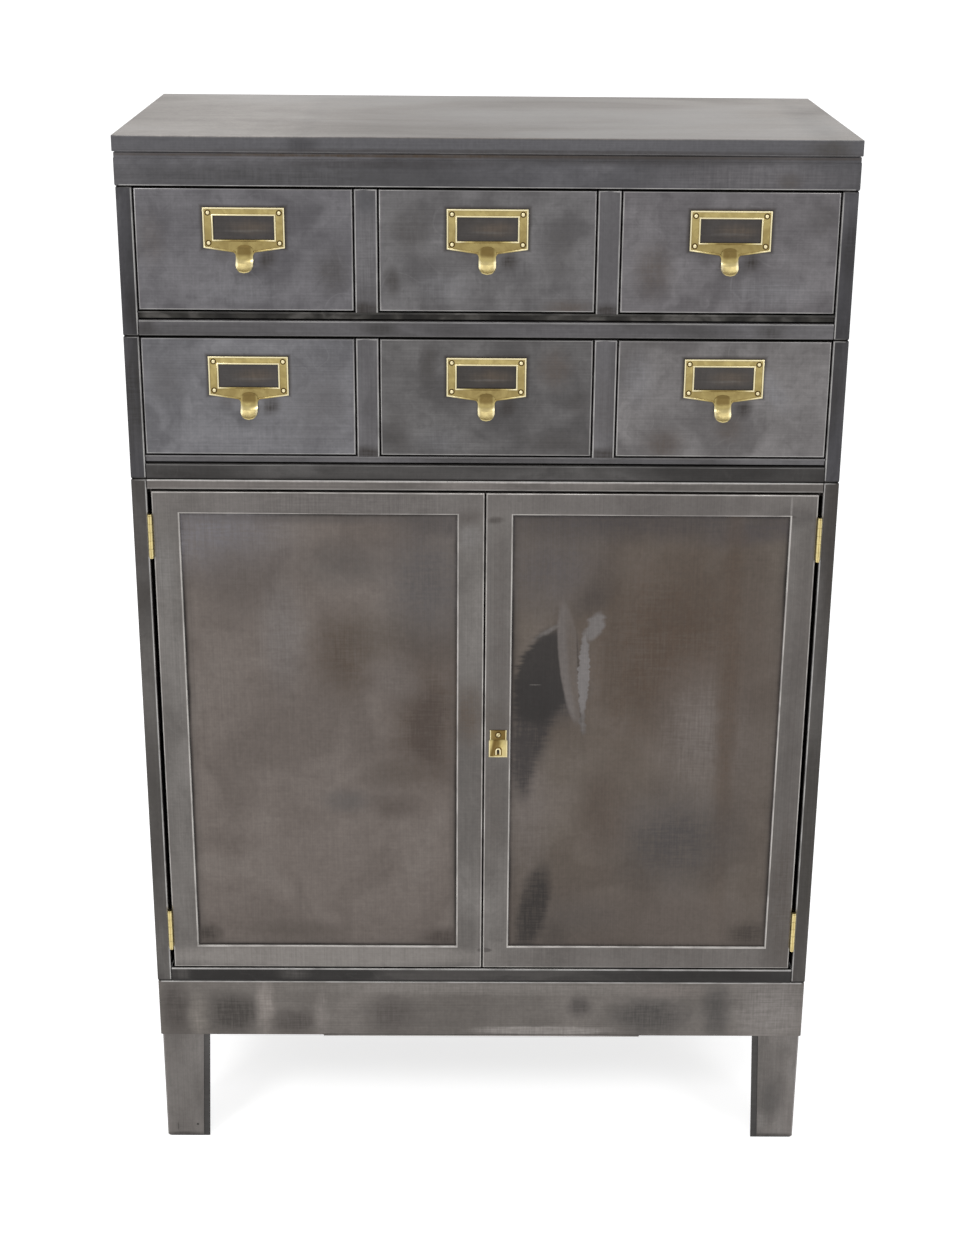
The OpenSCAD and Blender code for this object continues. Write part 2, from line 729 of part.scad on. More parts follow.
// Pressed brass plate: a raised lower half with a keyhole collar, and a dished upper half with a screw
module lock_plate() {
    raised_h = lock_h - dish_h;
    dish_w = lock_w - 2.4;
    dish_y = -lock_t / 2;
    edge = lock_t / 2;
    rim = 1.6;
    front = -lock_t - collar_h;
    color(brass) translate([lock_x, 0, latch_z]) {
        difference() {
            union() {
                translate([-lock_w / 2, -lock_t, -lock_h / 2])
                    pressed([lock_w, lock_t, raised_h], edge, deep = [1, 1, 0, 0]);
                translate([-dish_w / 2, -lock_t, raised_h - lock_h / 2 - cut])
                    pressed([dish_w, lock_t, dish_h + cut], edge, deep = [0, 0, 1, 1], cross = [0, 0, 0, 1]);
                translate([0, 0, collar_z]) rotate([90, 0, 0]) cylinder(r = collar_w / 2, h = -front);
                translate([-collar_w / 2, front, collar_z - collar_l]) cube([collar_w, -front, collar_l]);
            }
            translate([-dish_w / 2 + rim, -lock_t - cut, raised_h - lock_h / 2 + 0.4])
                cube([dish_w - 2 * rim, lock_t + dish_y + cut, dish_h - rim]);
            translate([0, front - cut, 0]) keyhole(-front + 2 * cut);
            translate([0, -lock_t, 0]) screw_hole(lock_t + cut);
        }
        translate([0, dish_y - hole_clear, screw_z]) rotate([90, 0, 0]) {
            intersection() {
                translate([0, 0, -lock_screw_r * 0.8]) sphere(r = lock_screw_r * 1.28);
                cylinder(r = lock_screw_r, h = lock_screw_r);
            }
            translate([0, 0, -bolt_back]) cylinder(r = lock_screw_r / 2, h = bolt_back + 0.5);
        }
    }
}

// Box of the rim lock behind the lock plate, open towards the meeting edge
module lock_case() {
    case_h = lock_h - 3;
    case_d = bolt_back + bolt_t + slide_clear;
    color(brass) translate([door_x + sheet + case_gap, sheet, latch_z - case_h / 2]) difference() {
        cube([case_w, case_d, case_h]);
        translate([-cut, bolt_back - sheet - slide_clear, case_h / 2 - bolt_h / 2 - slide_clear])
            cube([case_w - sheet + cut, bolt_t + 2 * slide_clear, bolt_h + 2 * slide_clear]);
        translate([lock_x - door_x - sheet - case_gap, -cut, case_h / 2]) {
            keyhole(bolt_back - sheet + cut);
            screw_hole(bolt_back + cut);
        }
    }
}

module lock_bolt() {
    bolt_l = case_w - sheet - bolt_throw / 2;
    color(brass) translate([door_x + case_gap, bolt_back, latch_z - bolt_h / 2])
        cube([bolt_l, bolt_t, bolt_h]);
}

// Plate and two staples that guide the left door's bolt
module bolt_guide() {
    color(inner_steel) translate([rod_x, 0, rod_top]) difference() {
        union() {
            translate([-guide_plate_w / 2, door_d, -rod_l + 12]) cube([guide_plate_w, sheet, rod_l - 14]);
            for (z = [-rod_l + 16, -4 - staple_h])
                translate([-rod_r - 2, door_d, z])
                    cube([2 * rod_r + 4, rod_y - door_d + rod_r + 2, staple_h]);
        }
        translate([0, rod_y, -rod_l - cut]) cylinder(r = rod_r + slide_clear, h = rod_l + 20);
    }
}

// Round bolt with a side knob that a finger can lift
module rod_bolt() {
    knob_z = -rod_l / 2 - 2;
    color(inner_steel) translate([rod_x, rod_y, rod_top]) {
        translate([0, 0, -rod_l]) cylinder(r = rod_r, h = rod_l);
        translate([0, 0, knob_z]) rotate([-90, 0, 0]) cylinder(r = rod_r * 0.8, h = rod_r + knob_l);
    }
}

// ---- base -----------------------------------------------------------------------------------

// Front or back board of the apron with its corners, open towards the middle. Drawn for the front.
module apron_board() {
    w = body_w - 2 * apron_in;
    difference() {
        translate([-w / 2, apron_in, leg_h])
            pressed([w, apron_flange, apron_h], edge_r, [1, 1, 0, 0], [0, 0, 1, 1], [0, 0, 0, 1]);
        translate([-w / 2 + base_t, apron_in + base_t, leg_h - cut])
            cube([w - 2 * base_t, apron_flange, apron_h - base_t + cut]);
    }
}

module apron_front() {
    color(steel) {
        apron_board();
        translate([-apron_lip_l / 2, apron_in, leg_h - apron_lip_h])
            pressed([apron_lip_l, apron_lip_d, apron_lip_h + base_t], sheet,
                    upright = none, cross = [1, 0, 0, 0]);
    }
}

module apron_back() {
    color(steel) translate([0, body_d, 0]) mirror([0, 1, 0]) apron_board();
}

module apron_sides() {
    l = body_d - 2 * (apron_in + apron_flange);
    color(steel) for (side = [-1, 1]) mirrored(side)
        translate([-body_w / 2 + apron_in, apron_in + apron_flange, leg_h]) difference() {
            pressed([apron_flange, l, apron_h], edge_r, [0, 0, 0, 0], [0, 0, 0, 1], [0, 0, 0, 0]);
            translate([base_t, -cut, -cut]) cube([apron_flange, l + 2 * cut, apron_h - base_t + cut]);
            for (y = [tie_y, body_d - tie_y])
                translate([post_w / 2 - apron_in, y - apron_in - apron_flange, 0])
                    cylinder(r = tie_r + tie_clear, h = apron_h + cut);
        }
}

// Outline of a leg's plate from its outer edge: straight down to the apron, then narrowing to the foot
function leg_outline(top_w, low_w, foot, head) =
    [[-cut, foot], [low_w, foot], [top_w, leg_h], [top_w, head], [-cut, head]];

// Two plates at a right angle round the outer corner, each cut to the leg's outline
module leg_angle(in, t, top_w, low_w, foot, head, r) {
    reach = top_w + cut;
    translate([-body_w / 2 + in, in, 0]) intersection() {
        linear_extrude(head) polygon(folded_section([[0, reach], [0, 0], [reach, 0]], t, r));
        along_y(reach) polygon(leg_outline(top_w, low_w, foot, head));
        along_x(reach) polygon(leg_outline(top_w, low_w, foot, head));
    }
}

// Repeats a leg part drawn at the front left corner at all four corners
module at_corners() {
    for (side = [-1, 1]) mirrored(side) {
        children();
        translate([0, body_d, 0]) mirror([0, 1, 0]) children();
    }
}

module leg_angles() {
    color(inner_steel) at_corners()
        leg_angle(leg_in + sheet, angle_t, leg_w + angle_show - sheet, foot_w + angle_show - sheet,
                  0, leg_h + apron_h - base_t, angle_t + 0.5);
}

module leg_covers() {
    color(steel) at_corners() leg_angle(leg_in, sheet, leg_w, foot_w, cover_gap, leg_h + cover_up, edge_r);
}

// ---- drawers --------------------------------------------------------------------------------

// Drawers are numbered from the upper left, row by row
function drawer_at(n) = [bay_x((n - 1) % columns) + drawer_gap, (n <= columns ? upper_z : lower_z)];

module drawer_front(n) {
    at = drawer_at(n);
    color(steel) translate([at.x, 0, at.y + drawer_z]) difference() {
        pressed([drawer_w, front_t, drawer_h], edge_r, [1, 1, 0, 0], [0, 0, 0, 0], [1, 0, 0, 1]);
        translate([sheet, sheet, sheet])
            cube([drawer_w - 2 * sheet, front_t - 2 * sheet, drawer_h - 2 * sheet]);
        translate([front_flange, sheet, front_flange])
            cube([drawer_w - 2 * front_flange, front_t, drawer_h - 2 * front_flange]);
        translate([drawer_w / 2, 0, drawer_h - pull_drop]) rivet_spots()
            translate([0, 0, -sheet - cut]) cylinder(r = rivet_r + hole_clear, h = sheet + 2 * cut);
    }
}

// Tray of five sheets, welded at their edges: floor, two hemmed sides, and two walls. The back wall has
// a tab below it that meets the stop.
module drawer_tray(n) {
    at = drawer_at(n);
    hem = 2 * sheet + hem_gap;
    side = [[hem, tray_h - tray_hem], [hem, tray_h], [0, tray_h], [0, 0]];
    tab = runner_h - tab_clear;
    seat = sheet + weld_gap;
    color(inner_steel) translate([at.x + tray_side_gap, front_t, at.y + tray_z]) {
        translate([seat, seat, 0]) cube([tray_w - 2 * seat, tray_l - 2 * seat, sheet]);
        for (x = [0, 1])
            translate([x * tray_w, seat, 0]) mirror([x, 0, 0]) along_y(tray_l - 2 * seat)
                polygon(folded_section(side, sheet, hem / 2));
        cube([tray_w, sheet, tray_h]);
        translate([0, tray_l - sheet, 0]) {
            cube([tray_w, sheet, tray_h]);
            translate([(tray_w - tab_stop_w) / 2, 0, -tab]) cube([tab_stop_w, sheet, tab + sheet]);
        }
    }
}

// Front view of the pull's plate, drawn downwards from its top edge and shrunk by inset
function plate_outline(inset) = [
    [-pull_w / 2 + inset, -inset], [-pull_w / 2 + inset, -pull_h + inset],
    [-tab_w / 2, -neck_z + inset], [tab_w / 2, -neck_z + inset],
    [pull_w / 2 - inset, -pull_h + inset], [pull_w / 2 - inset, -inset]
];

// Half outline of the tab from the plate to its round tip
function tab_half(side) = concat(
    [for (k = [0 : bend_steps]) let (a = 90 * k / bend_steps)
        [side * (tab_w / 2 + neck_r * (1 - sin(a))), -neck_z + neck_r * (cos(a) - 1) + neck_r * 0.35]],
    [for (k = [0 : 8]) let (a = 90 * k / 8) [side * tab_w / 2 * cos(a), -tab_end + tab_w / 2 * (1 - sin(a))]]
);

module pull_window(grow) {
    translate([-window_w / 2 - grow, -window_top - window_h - grow])
        square([window_w + 2 * grow, window_h + 2 * grow]);
}

// Puts something at the four rivets of a pull, with its Z axis pointing out of the drawer
module rivet_spots() {
    for (x = [-1, 1], z = [-rivet_edge, -pull_h + rivet_foot])
        translate([x * (pull_w / 2 - rivet_edge), 0, z]) rotate([90, 0, 0]) children();
}

// Rivet with a round head in front of the pull and a flat one behind the drawer's sheet
module rivet() {
    head_z = pull_t + hole_clear;
    tail_z = -sheet - hole_clear;
    translate([0, 0, head_z]) intersection() {
        translate([0, 0, -rivet_d * 0.18]) sphere(r = rivet_d * 0.54);
        cylinder(r = rivet_d / 2, h = rivet_d);
    }
    translate([0, 0, tail_z - 0.8]) cylinder(r = rivet_r, h = head_z - tail_z + 1);
    translate([0, 0, tail_z - 0.8]) cylinder(r = rivet_r * 1.5, h = 0.8);
}

// Brass card holder with a finger tab, drawn with its back on Y = 0 and its top edge on Z = 0
module card_pull() {
    start = -neck_z + 3 * neck_r;
    left = tab_half(-1);
    right = tab_half(1);
    path = [[-pull_t, start], [-pull_t, -tab_end + tab_reach], [-tab_reach, -tab_end]];
    difference() {
        translate([0, -pull_t, 0]) along_y(pull_t) difference() {
            polygon(plate_outline(0));
            pull_window(0);
        }
        rivet_spots() translate([0, 0, -cut]) cylinder(r = rivet_r + hole_clear, h = pull_t + 2 * cut);
    }
    translate([0, -pull_t - rim_h, 0]) along_y(rim_h) difference() {
        polygon(plate_outline(0));
        difference() {
            polygon(plate_outline(rim_w));
            pull_window(rim_w);
        }
        pull_window(0);
        translate([-tab_w / 2 - neck_r, -neck_z - cut]) square([tab_w + 2 * neck_r, neck_drop + 2 * rim_w]);
    }
    intersection() {
        translate([-pull_w / 2, 0, 0]) along_x(pull_w) polygon(folded_section(path, pull_t, tab_curl, 8));
        translate([0, -2 * tab_reach, 0]) along_y(3 * tab_reach)
            polygon(concat([[-tab_w / 2 - neck_r, start]], left,
                           [for (i = [len(right) - 1 : -1 : 0]) right[i]],
                           [[tab_w / 2 + neck_r, start]]));
    }
    rivet_spots() rivet();
}

module drawer_pull(n) {
    at = drawer_at(n);
    color(brass) translate([at.x + drawer_w / 2, 0, at.y + drawer_z + drawer_h - pull_drop]) card_pull();
}

// ---- the cabinet ----------------------------------------------------------------------------

module at_level(z, paint = steel) {
    color(paint) translate([0, 0, z]) children();
}

translate([0, face_y, 0]) {
    cap_slab();
    cap_frieze();

    at_level(upper_z) side_panel(section_h);  // upper_side_left
    at_level(upper_z) mirrored(1) side_panel(section_h);  // upper_side_right
    at_level(upper_z, inner_steel) back_panel(section_h);  // upper_back
    at_level(upper_z) drawer_floor();  // upper_floor
    at_level(upper_z) drawer_rail();  // upper_rail
    at_level(upper_z) dividers();  // upper_dividers

    at_level(lower_z) side_panel(section_h);  // lower_side_left
    at_level(lower_z) mirrored(1) side_panel(section_h);  // lower_side_right
    at_level(lower_z, inner_steel) back_panel(section_h);  // lower_back
    at_level(lower_z) drawer_floor();  // lower_floor
    at_level(lower_z) drawer_rail();  // lower_rail
    at_level(lower_z) dividers();  // lower_dividers

    at_level(0, inner_steel) runners();  // drawer_runners
    at_level(0, inner_steel) tie_bolts();  // section_bolts

    at_level(cupboard_z) side_panel(cupboard_h);  // cupboard_side_left
    at_level(cupboard_z) mirrored(1) side_panel(cupboard_h);  // cupboard_side_right
    at_level(cupboard_z, inner_steel) back_panel(cupboard_h);  // cupboard_back
    cupboard_floor();
    top_rail();  // cupboard_top_rail
    bottom_rail();  // cupboard_bottom_rail
    shelf();
    shelf_clips();

    fixed_leaves();  // fixed_hinge_leaves
    pins();  // hinge_pins

    apron_front();
    apron_back();
    apron_sides();
    leg_angles();
    leg_covers();

    for (n = [1 : 2 * columns]) {
        drawer_front(n);
        drawer_tray(n);
        drawer_pull(n);
    }

    left_frame();  // left_door_frame
    left_panel();  // left_door_panel
    door_leaves(-1);  // left_door_leaves
    bolt_guide();  // left_bolt_guide
    rod_bolt();  // left_bolt

    right_frame();  // right_door_frame
    right_panel();  // right_door_panel
    door_leaves(1);  // right_door_leaves
    lock_plate();
    lock_case();
    lock_bolt();
}
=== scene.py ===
# %% [markdown]
# # A stacking steel filing cabinet
# The cabinet is stacked from steel boxes: a cap, two sections with three card drawers each, a cupboard and
# a base on four legs. Nearly all of it is folded from sheet 1.2 mm thick, so every visible edge is a bend
# of about 2.4 mm radius. The bends catch the light, so they matter more than anything else for the look.
# The imported CAD model gives every size. This first cell loads it.

# %% Load the frame
import json
import math

import bmesh
import bpy
from mathutils import Matrix, Vector

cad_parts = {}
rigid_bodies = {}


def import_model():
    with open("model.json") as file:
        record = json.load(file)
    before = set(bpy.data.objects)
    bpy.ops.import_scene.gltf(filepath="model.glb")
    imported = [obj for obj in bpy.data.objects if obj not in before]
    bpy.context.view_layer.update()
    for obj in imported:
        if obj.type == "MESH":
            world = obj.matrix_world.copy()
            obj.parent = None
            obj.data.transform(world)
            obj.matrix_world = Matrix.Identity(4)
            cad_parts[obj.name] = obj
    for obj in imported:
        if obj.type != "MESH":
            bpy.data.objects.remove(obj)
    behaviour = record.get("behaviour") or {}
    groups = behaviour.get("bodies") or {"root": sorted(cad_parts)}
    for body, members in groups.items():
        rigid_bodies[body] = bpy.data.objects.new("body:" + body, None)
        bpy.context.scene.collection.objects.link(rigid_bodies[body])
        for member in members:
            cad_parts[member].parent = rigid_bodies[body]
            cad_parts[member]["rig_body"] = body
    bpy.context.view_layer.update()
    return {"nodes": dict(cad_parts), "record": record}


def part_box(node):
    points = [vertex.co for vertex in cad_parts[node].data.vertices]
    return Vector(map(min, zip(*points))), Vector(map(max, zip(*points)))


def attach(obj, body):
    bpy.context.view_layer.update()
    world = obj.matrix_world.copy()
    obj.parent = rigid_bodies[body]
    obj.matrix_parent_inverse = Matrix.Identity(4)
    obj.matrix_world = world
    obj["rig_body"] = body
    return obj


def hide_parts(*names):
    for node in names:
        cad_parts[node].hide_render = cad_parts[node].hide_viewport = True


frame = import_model()
nodes = frame["nodes"]
MM = 0.001
GAUGE = 1.2 * MM
BEND = 2.4 * MM
front_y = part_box("upper_side_left")[0].y
print("nodes:", len(nodes), "front face at y =", round(front_y, 4))

# %% [markdown]
# ## Shader groups
# Seven effects come back in the metals of the cabinet, so each one is a node group that a material places
# with its own numbers: clouds of patina, fine brushing, wiped smears, worn bends with a painted highlight,
# one mark in a known place, a soft rectangle, and the painted black shade in the seams of the stack. A small
# class keeps the node building short.


# %% Helper: building node trees
class Tree:
    """Adds nodes to one node tree and wires them by socket name."""

    def __init__(self, tree):
        self.tree = tree
        self.count = 0

    def add(self, kind, values=None, **settings):
        node = self.tree.nodes.new(kind if kind.startswith("Node") else "ShaderNode" + kind)
        self.count += 1
        node.location = (self.count * 180, 0)
        for key, value in settings.items():
            setattr(node, key, value)
        for name, value in (values or {}).items():
            self.feed(node.inputs[name], value)
        return node

    def feed(self, socket, value):
        if isinstance(value, bpy.types.NodeSocket):
            self.tree.links.new(value, socket)
        else:
            socket.default_value = value

    def math(self, operation, a, b=0.0):
        return self.add("Math", {0: a, 1: b}, operation=operation).outputs[0]

    def plus(self, a, b):
        return self.math("ADD", a, b)

    def minus(self, a, b):
        return self.math("SUBTRACT", a, b)

    def times(self, a, b):
        return self.math("MULTIPLY", a, b)

    def over(self, a, b):
        return self.math("DIVIDE", a, b)

    def vector(self, operation, a, b=(0, 0, 0)):
        node = self.add("VectorMath", {0: a, 1: b}, operation=operation)
        return node.outputs["Value" if operation == "LENGTH" else "Vector"]

    def part(self, vector, axis):
        """One coordinate of a vector."""
        return self.add("SeparateXYZ", {0: vector}).outputs["xyz".index(axis)]

    def mix(self, factor, a, b, blend="MIX"):
        node = self.add("Mix", {0: factor, 6: a, 7: b}, data_type="RGBA", blend_type=blend)
        return node.outputs[2]

    def step(self, value, low, high, to_low=0.0, to_high=1.0):
        """A smooth step from to_low, at low, to to_high, at high."""
        node = self.add("MapRange", {"Value": value, "From Min": low, "From Max": high,
                                     "To Min": to_low, "To Max": to_high})
        node.interpolation_type = "SMOOTHSTEP"
        return node.outputs[0]

    def noise(self, place, scale, detail, seed, distortion=0.0, roughness=0.5, output=0):
        node = self.add("TexNoise", {"Vector": place, "W": seed, "Scale": scale, "Detail": detail,
                                     "Distortion": distortion, "Roughness": roughness},
                        noise_dimensions="4D")
        return node.outputs[output]

    def place_group(self, group, **values):
        node = self.add("Group", node_tree=group)
        for name, value in values.items():
            self.feed(node.inputs[name.capitalize()], value)
        return node.outputs[0]


def new_group(name, output, **inputs):
    """A node group with one output. Each input is given by its starting value: a number or a vector."""
    group = bpy.data.node_groups.new(name, "ShaderNodeTree")
    for label, start in inputs.items():
        kind = "NodeSocketVector" if isinstance(start, tuple) else "NodeSocketFloat"
        socket = group.interface.new_socket(label.capitalize(), in_out="INPUT", socket_type=kind)
        socket.default_value = start
    group.interface.new_socket(output, in_out="OUTPUT", socket_type="NodeSocketFloat")
    tree = Tree(group)
    print("group:", name)
    return group, tree, tree.add("NodeGroupInput").outputs, tree.add("NodeGroupOutput").inputs[output]


ORIGIN = (0.0, 0.0, 0.0)

# %% [markdown]
# Steel that is stripped to bare metal never gets one even colour. Heat, acid and handling leave soft clouds
# from a few centimetres to a hand's width across. Layered noise gives them, and a seed makes each sheet's
# own pattern, because two sheets that meet at a seam never share one stain.

# %% Group: clouds of patina
clouds, t, given, out = new_group("patina clouds", "Mask", place=ORIGIN, size=0.1, ragged=0.5, seed=0.0)
field = t.noise(given["Place"], t.over(1.0, given["Size"]), 4.0, given["Seed"],
                distortion=t.times(given["Ragged"], 1.6), roughness=t.times(given["Ragged"], 0.9))
t.feed(out, t.step(field, 0.3, 0.7))

# %% [markdown]
# A wire wheel or an abrasive pad leaves fine lines along its stroke. Stretching a noise along one axis
# draws them. The group takes the stretch as a vector, so one sheet is brushed across and the next upright.

# %% Group: brushing
brushing, t, given, out = new_group("brushing", "Lines", place=ORIGIN, across=(1.0, 1.0, 1.0), seed=0.0)
lines = t.noise(t.vector("MULTIPLY", given["Place"], given["Across"]), 1.0, 3.0, given["Seed"])
t.feed(out, t.step(lines, 0.25, 0.75))

# %% [markdown]
# Wiping wax or oil on the metal leaves pale arcs where the cloth turned. The arcs are the zero lines of a
# bent, slow noise: only a narrow band round its middle value is light, which makes loops and open curves.

# %% Group: wiped smears
smears, t, given, out = new_group("wiped smears", "Mask", place=ORIGIN, size=0.05, width=0.05, seed=0.0)
slow = t.noise(given["Place"], t.over(1.0, given["Size"]), 1.0, given["Seed"], distortion=1.2)
off_middle = t.math("ABSOLUTE", t.minus(slow, 0.5))
band = t.step(t.over(off_middle, given["Width"]), 1.0, 0.0)
here = t.noise(given["Place"], t.over(0.8, given["Size"]), 2.0, t.plus(given["Seed"], 5.0))
t.feed(out, t.times(band, t.step(here, 0.45, 0.7)))

# %% [markdown]
# Hands and cloths polish the bends first, and this mask also paints a highlight on them, so it is partly wear
# and partly painted light. All sheets of this cabinet are square to the axes, so a normal that points along
# no axis can only be on a bend. The mask reads that from the normal itself, which needs no painted weights
# and follows a door when it turns, because the normal is the piece's own. Up and down say how much of it is
# left on bends that face that way, which paints light and shade by the way a bend faces. The outer corners of
# the shell get none.

# %% Group: worn bends with a painted highlight
CORNER_FROM, CORNER_FULL = 413.5 * MM, 415.5 * MM
bends, t, given, out = new_group("worn bends", "Mask", normal=(0.0, 0.0, 1.0), place=ORIGIN, patchy=0.5,
                                 up=1.0, down=1.0, seed=0.0)
slope = t.part(given["Normal"], "z")
level_up = t.step(slope, 0.1, 0.45, 1.0, given["Up"])
level_down = t.step(slope, -0.1, -0.45, 1.0, given["Down"])
from_middle = t.math("ABSOLUTE", t.part(given["Place"], "x"))
off_corner = t.step(from_middle, CORNER_FROM, CORNER_FULL, 1.0, 0.0)
along = t.add("SeparateXYZ", {0: t.vector("ABSOLUTE", given["Normal"])}).outputs
largest = t.math("MAXIMUM", t.math("MAXIMUM", along[0], along[1]), along[2])
on_bend = t.step(largest, 0.9995, 0.965)
patches = t.step(t.noise(given["Place"], 38.0, 3.0, given["Seed"]), 0.3, 0.65)
kept = t.minus(1.0, t.times(given["Patchy"], t.minus(1.0, patches)))
t.feed(out, t.times(t.times(on_bend, kept), t.times(t.times(level_up, level_down), off_corner)))

# %% [markdown]
# Some marks sit in one known place: a black patch on a door, a dark corner, and painted shadows such as those
# of the finger tabs. A stain is a soft ellipse whose outline a noise pulls about. With little raggedness it
# is a shadow-like cloud, with much it is a burn mark. The material makes the pull once and shares it between
# its stains. The tilt leans the ellipse sideways.

# %% Group: one stain
stain, t, given, out = new_group("stain", "Mask", place=ORIGIN, pull=ORIGIN, middle=ORIGIN,
                                 reach=(0.1, 0.1, 0.1), softness=0.5, ragged=0.02, tilt=0.0)
spread = t.add("VectorMath", {0: given["Pull"], "Scale": given["Ragged"]}, operation="SCALE").outputs[0]
from_middle = t.vector("SUBTRACT", t.vector("ADD", given["Place"], spread), given["Middle"])
leaned = t.add("VectorRotate", {"Vector": from_middle, "Angle": given["Tilt"]}, rotation_type="Y_AXIS")
distance = t.vector("LENGTH", t.vector("DIVIDE", leaned.outputs[0], given["Reach"]))
t.feed(out, t.step(distance, t.plus(1.0, given["Softness"]), t.minus(1.0, given["Softness"])))

# %% [markdown]
# Close to a plate and in the angle of a frame the steel is darker. The group is a rectangle that fades out at
# its border. Behind and round a label plate it is used as it is, for dirt and painted shade together, and
# turned round, one minus the mask, it is a painted shade along the inside of a frame.

# %% Group: soft rectangle
soft_rectangle, t, given, out = new_group("soft rectangle", "Mask", place=ORIGIN, middle=ORIGIN,
                                          reach=(0.1, 0.1, 0.1), fade=0.008, seed=0.0)
offset = t.vector("ABSOLUTE", t.vector("SUBTRACT", given["Place"], given["Middle"]))
beyond = t.add("SeparateXYZ", {0: t.vector("SUBTRACT", offset, given["Reach"])}).outputs
farthest = t.math("MAXIMUM", beyond[0], beyond[2])
uneven = t.noise(given["Place"], 26.0, 2.0, given["Seed"])
fade = t.times(given["Fade"], t.plus(0.4, t.times(uneven, 1.2)))
t.feed(out, t.step(t.over(farthest, fade), 1.0, 0.0))

# %% [markdown]
# Where two boxes of the stack meet, their bends leave a narrow groove, and a black line is painted along it
# as painted shade in the groove. The group knows the heights of the four grooves: each is the top of the box
# below, moved by up to a millimetre to where the groove is deepest.

# %% Group: painted shade in the seams of the stack
GROOVES = {"apron_front": 1.0, "cupboard_side_left": 0.8, "lower_side_left": 0.3, "upper_side_left": -0.3}
SEAM_HEIGHTS = [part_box(name)[1].z + shift * MM for name, shift in GROOVES.items()]
seam_shade, t, given, out = new_group("stacking seams", "Mask", place=ORIGIN, width=1.5 * MM)
height = t.part(given["Place"], "z")
nearest = 1.0
for seam in SEAM_HEIGHTS:
    nearest = t.math("MINIMUM", nearest, t.math("ABSOLUTE", t.minus(height, seam)))
t.feed(out, t.step(t.over(nearest, given["Width"]), 1.4, 0.6))
print("seams at", [round(h, 4) for h in SEAM_HEIGHTS])

# %% [markdown]
# ## The steel
# Each kind of sheet gets its own material from one recipe. Three colours carry it: the middle tone, the dark
# brown of the patina and the pale grey of bare metal. The clouds choose between them, the smears are bare
# metal, then painted shade along frames and round plates, and the stains in known places come next, some of
# them painted shadows. Then the brushing and fine strokes that cross each other ruffle all of it, and on top
# lie the worn bends with their painted highlight, a painted shade on faces that look up and the painted black
# shade in the seams. Roughness follows the same masks, because bare metal is smoother than patina, and a
# shallow bump gives the sheet its waves. The level takes all tones down a little, because a bare metal also
# mirrors the white room.


# %% Recipe: bare steel with patina
def rgb(red, green, blue):
    """A colour as it looks on a screen, 0 to 255, as the linear colour that a shader wants."""
    return tuple(((c / 255 + 0.055) / 1.055) ** 2.4 for c in (red, green, blue)) + (1.0,)


def new_material(name):
    material = bpy.data.materials.new(name)
    material.use_nodes = True
    print("material:", name)
    return material, material.node_tree.nodes["Principled BSDF"], Tree(material.node_tree)


LEVEL = 0.86
TOP_SHADE, GROOVE_SHADE = (30, 28, 27), (26, 24, 23)
ACROSS, UPRIGHT = (4.0, 200.0, 1100.0), (1100.0, 200.0, 4.0)
LEVEL_RUB, UPRIGHT_RUB = (34.0, 34.0, 430.0), (430.0, 430.0, 34.0)
ALONG_X, ALONG_Z, EVENLY = (0.3, 1.0, 1.0), (1.0, 1.0, 0.3), (1.0, 1.0, 1.0)
THROUGH = 0.5


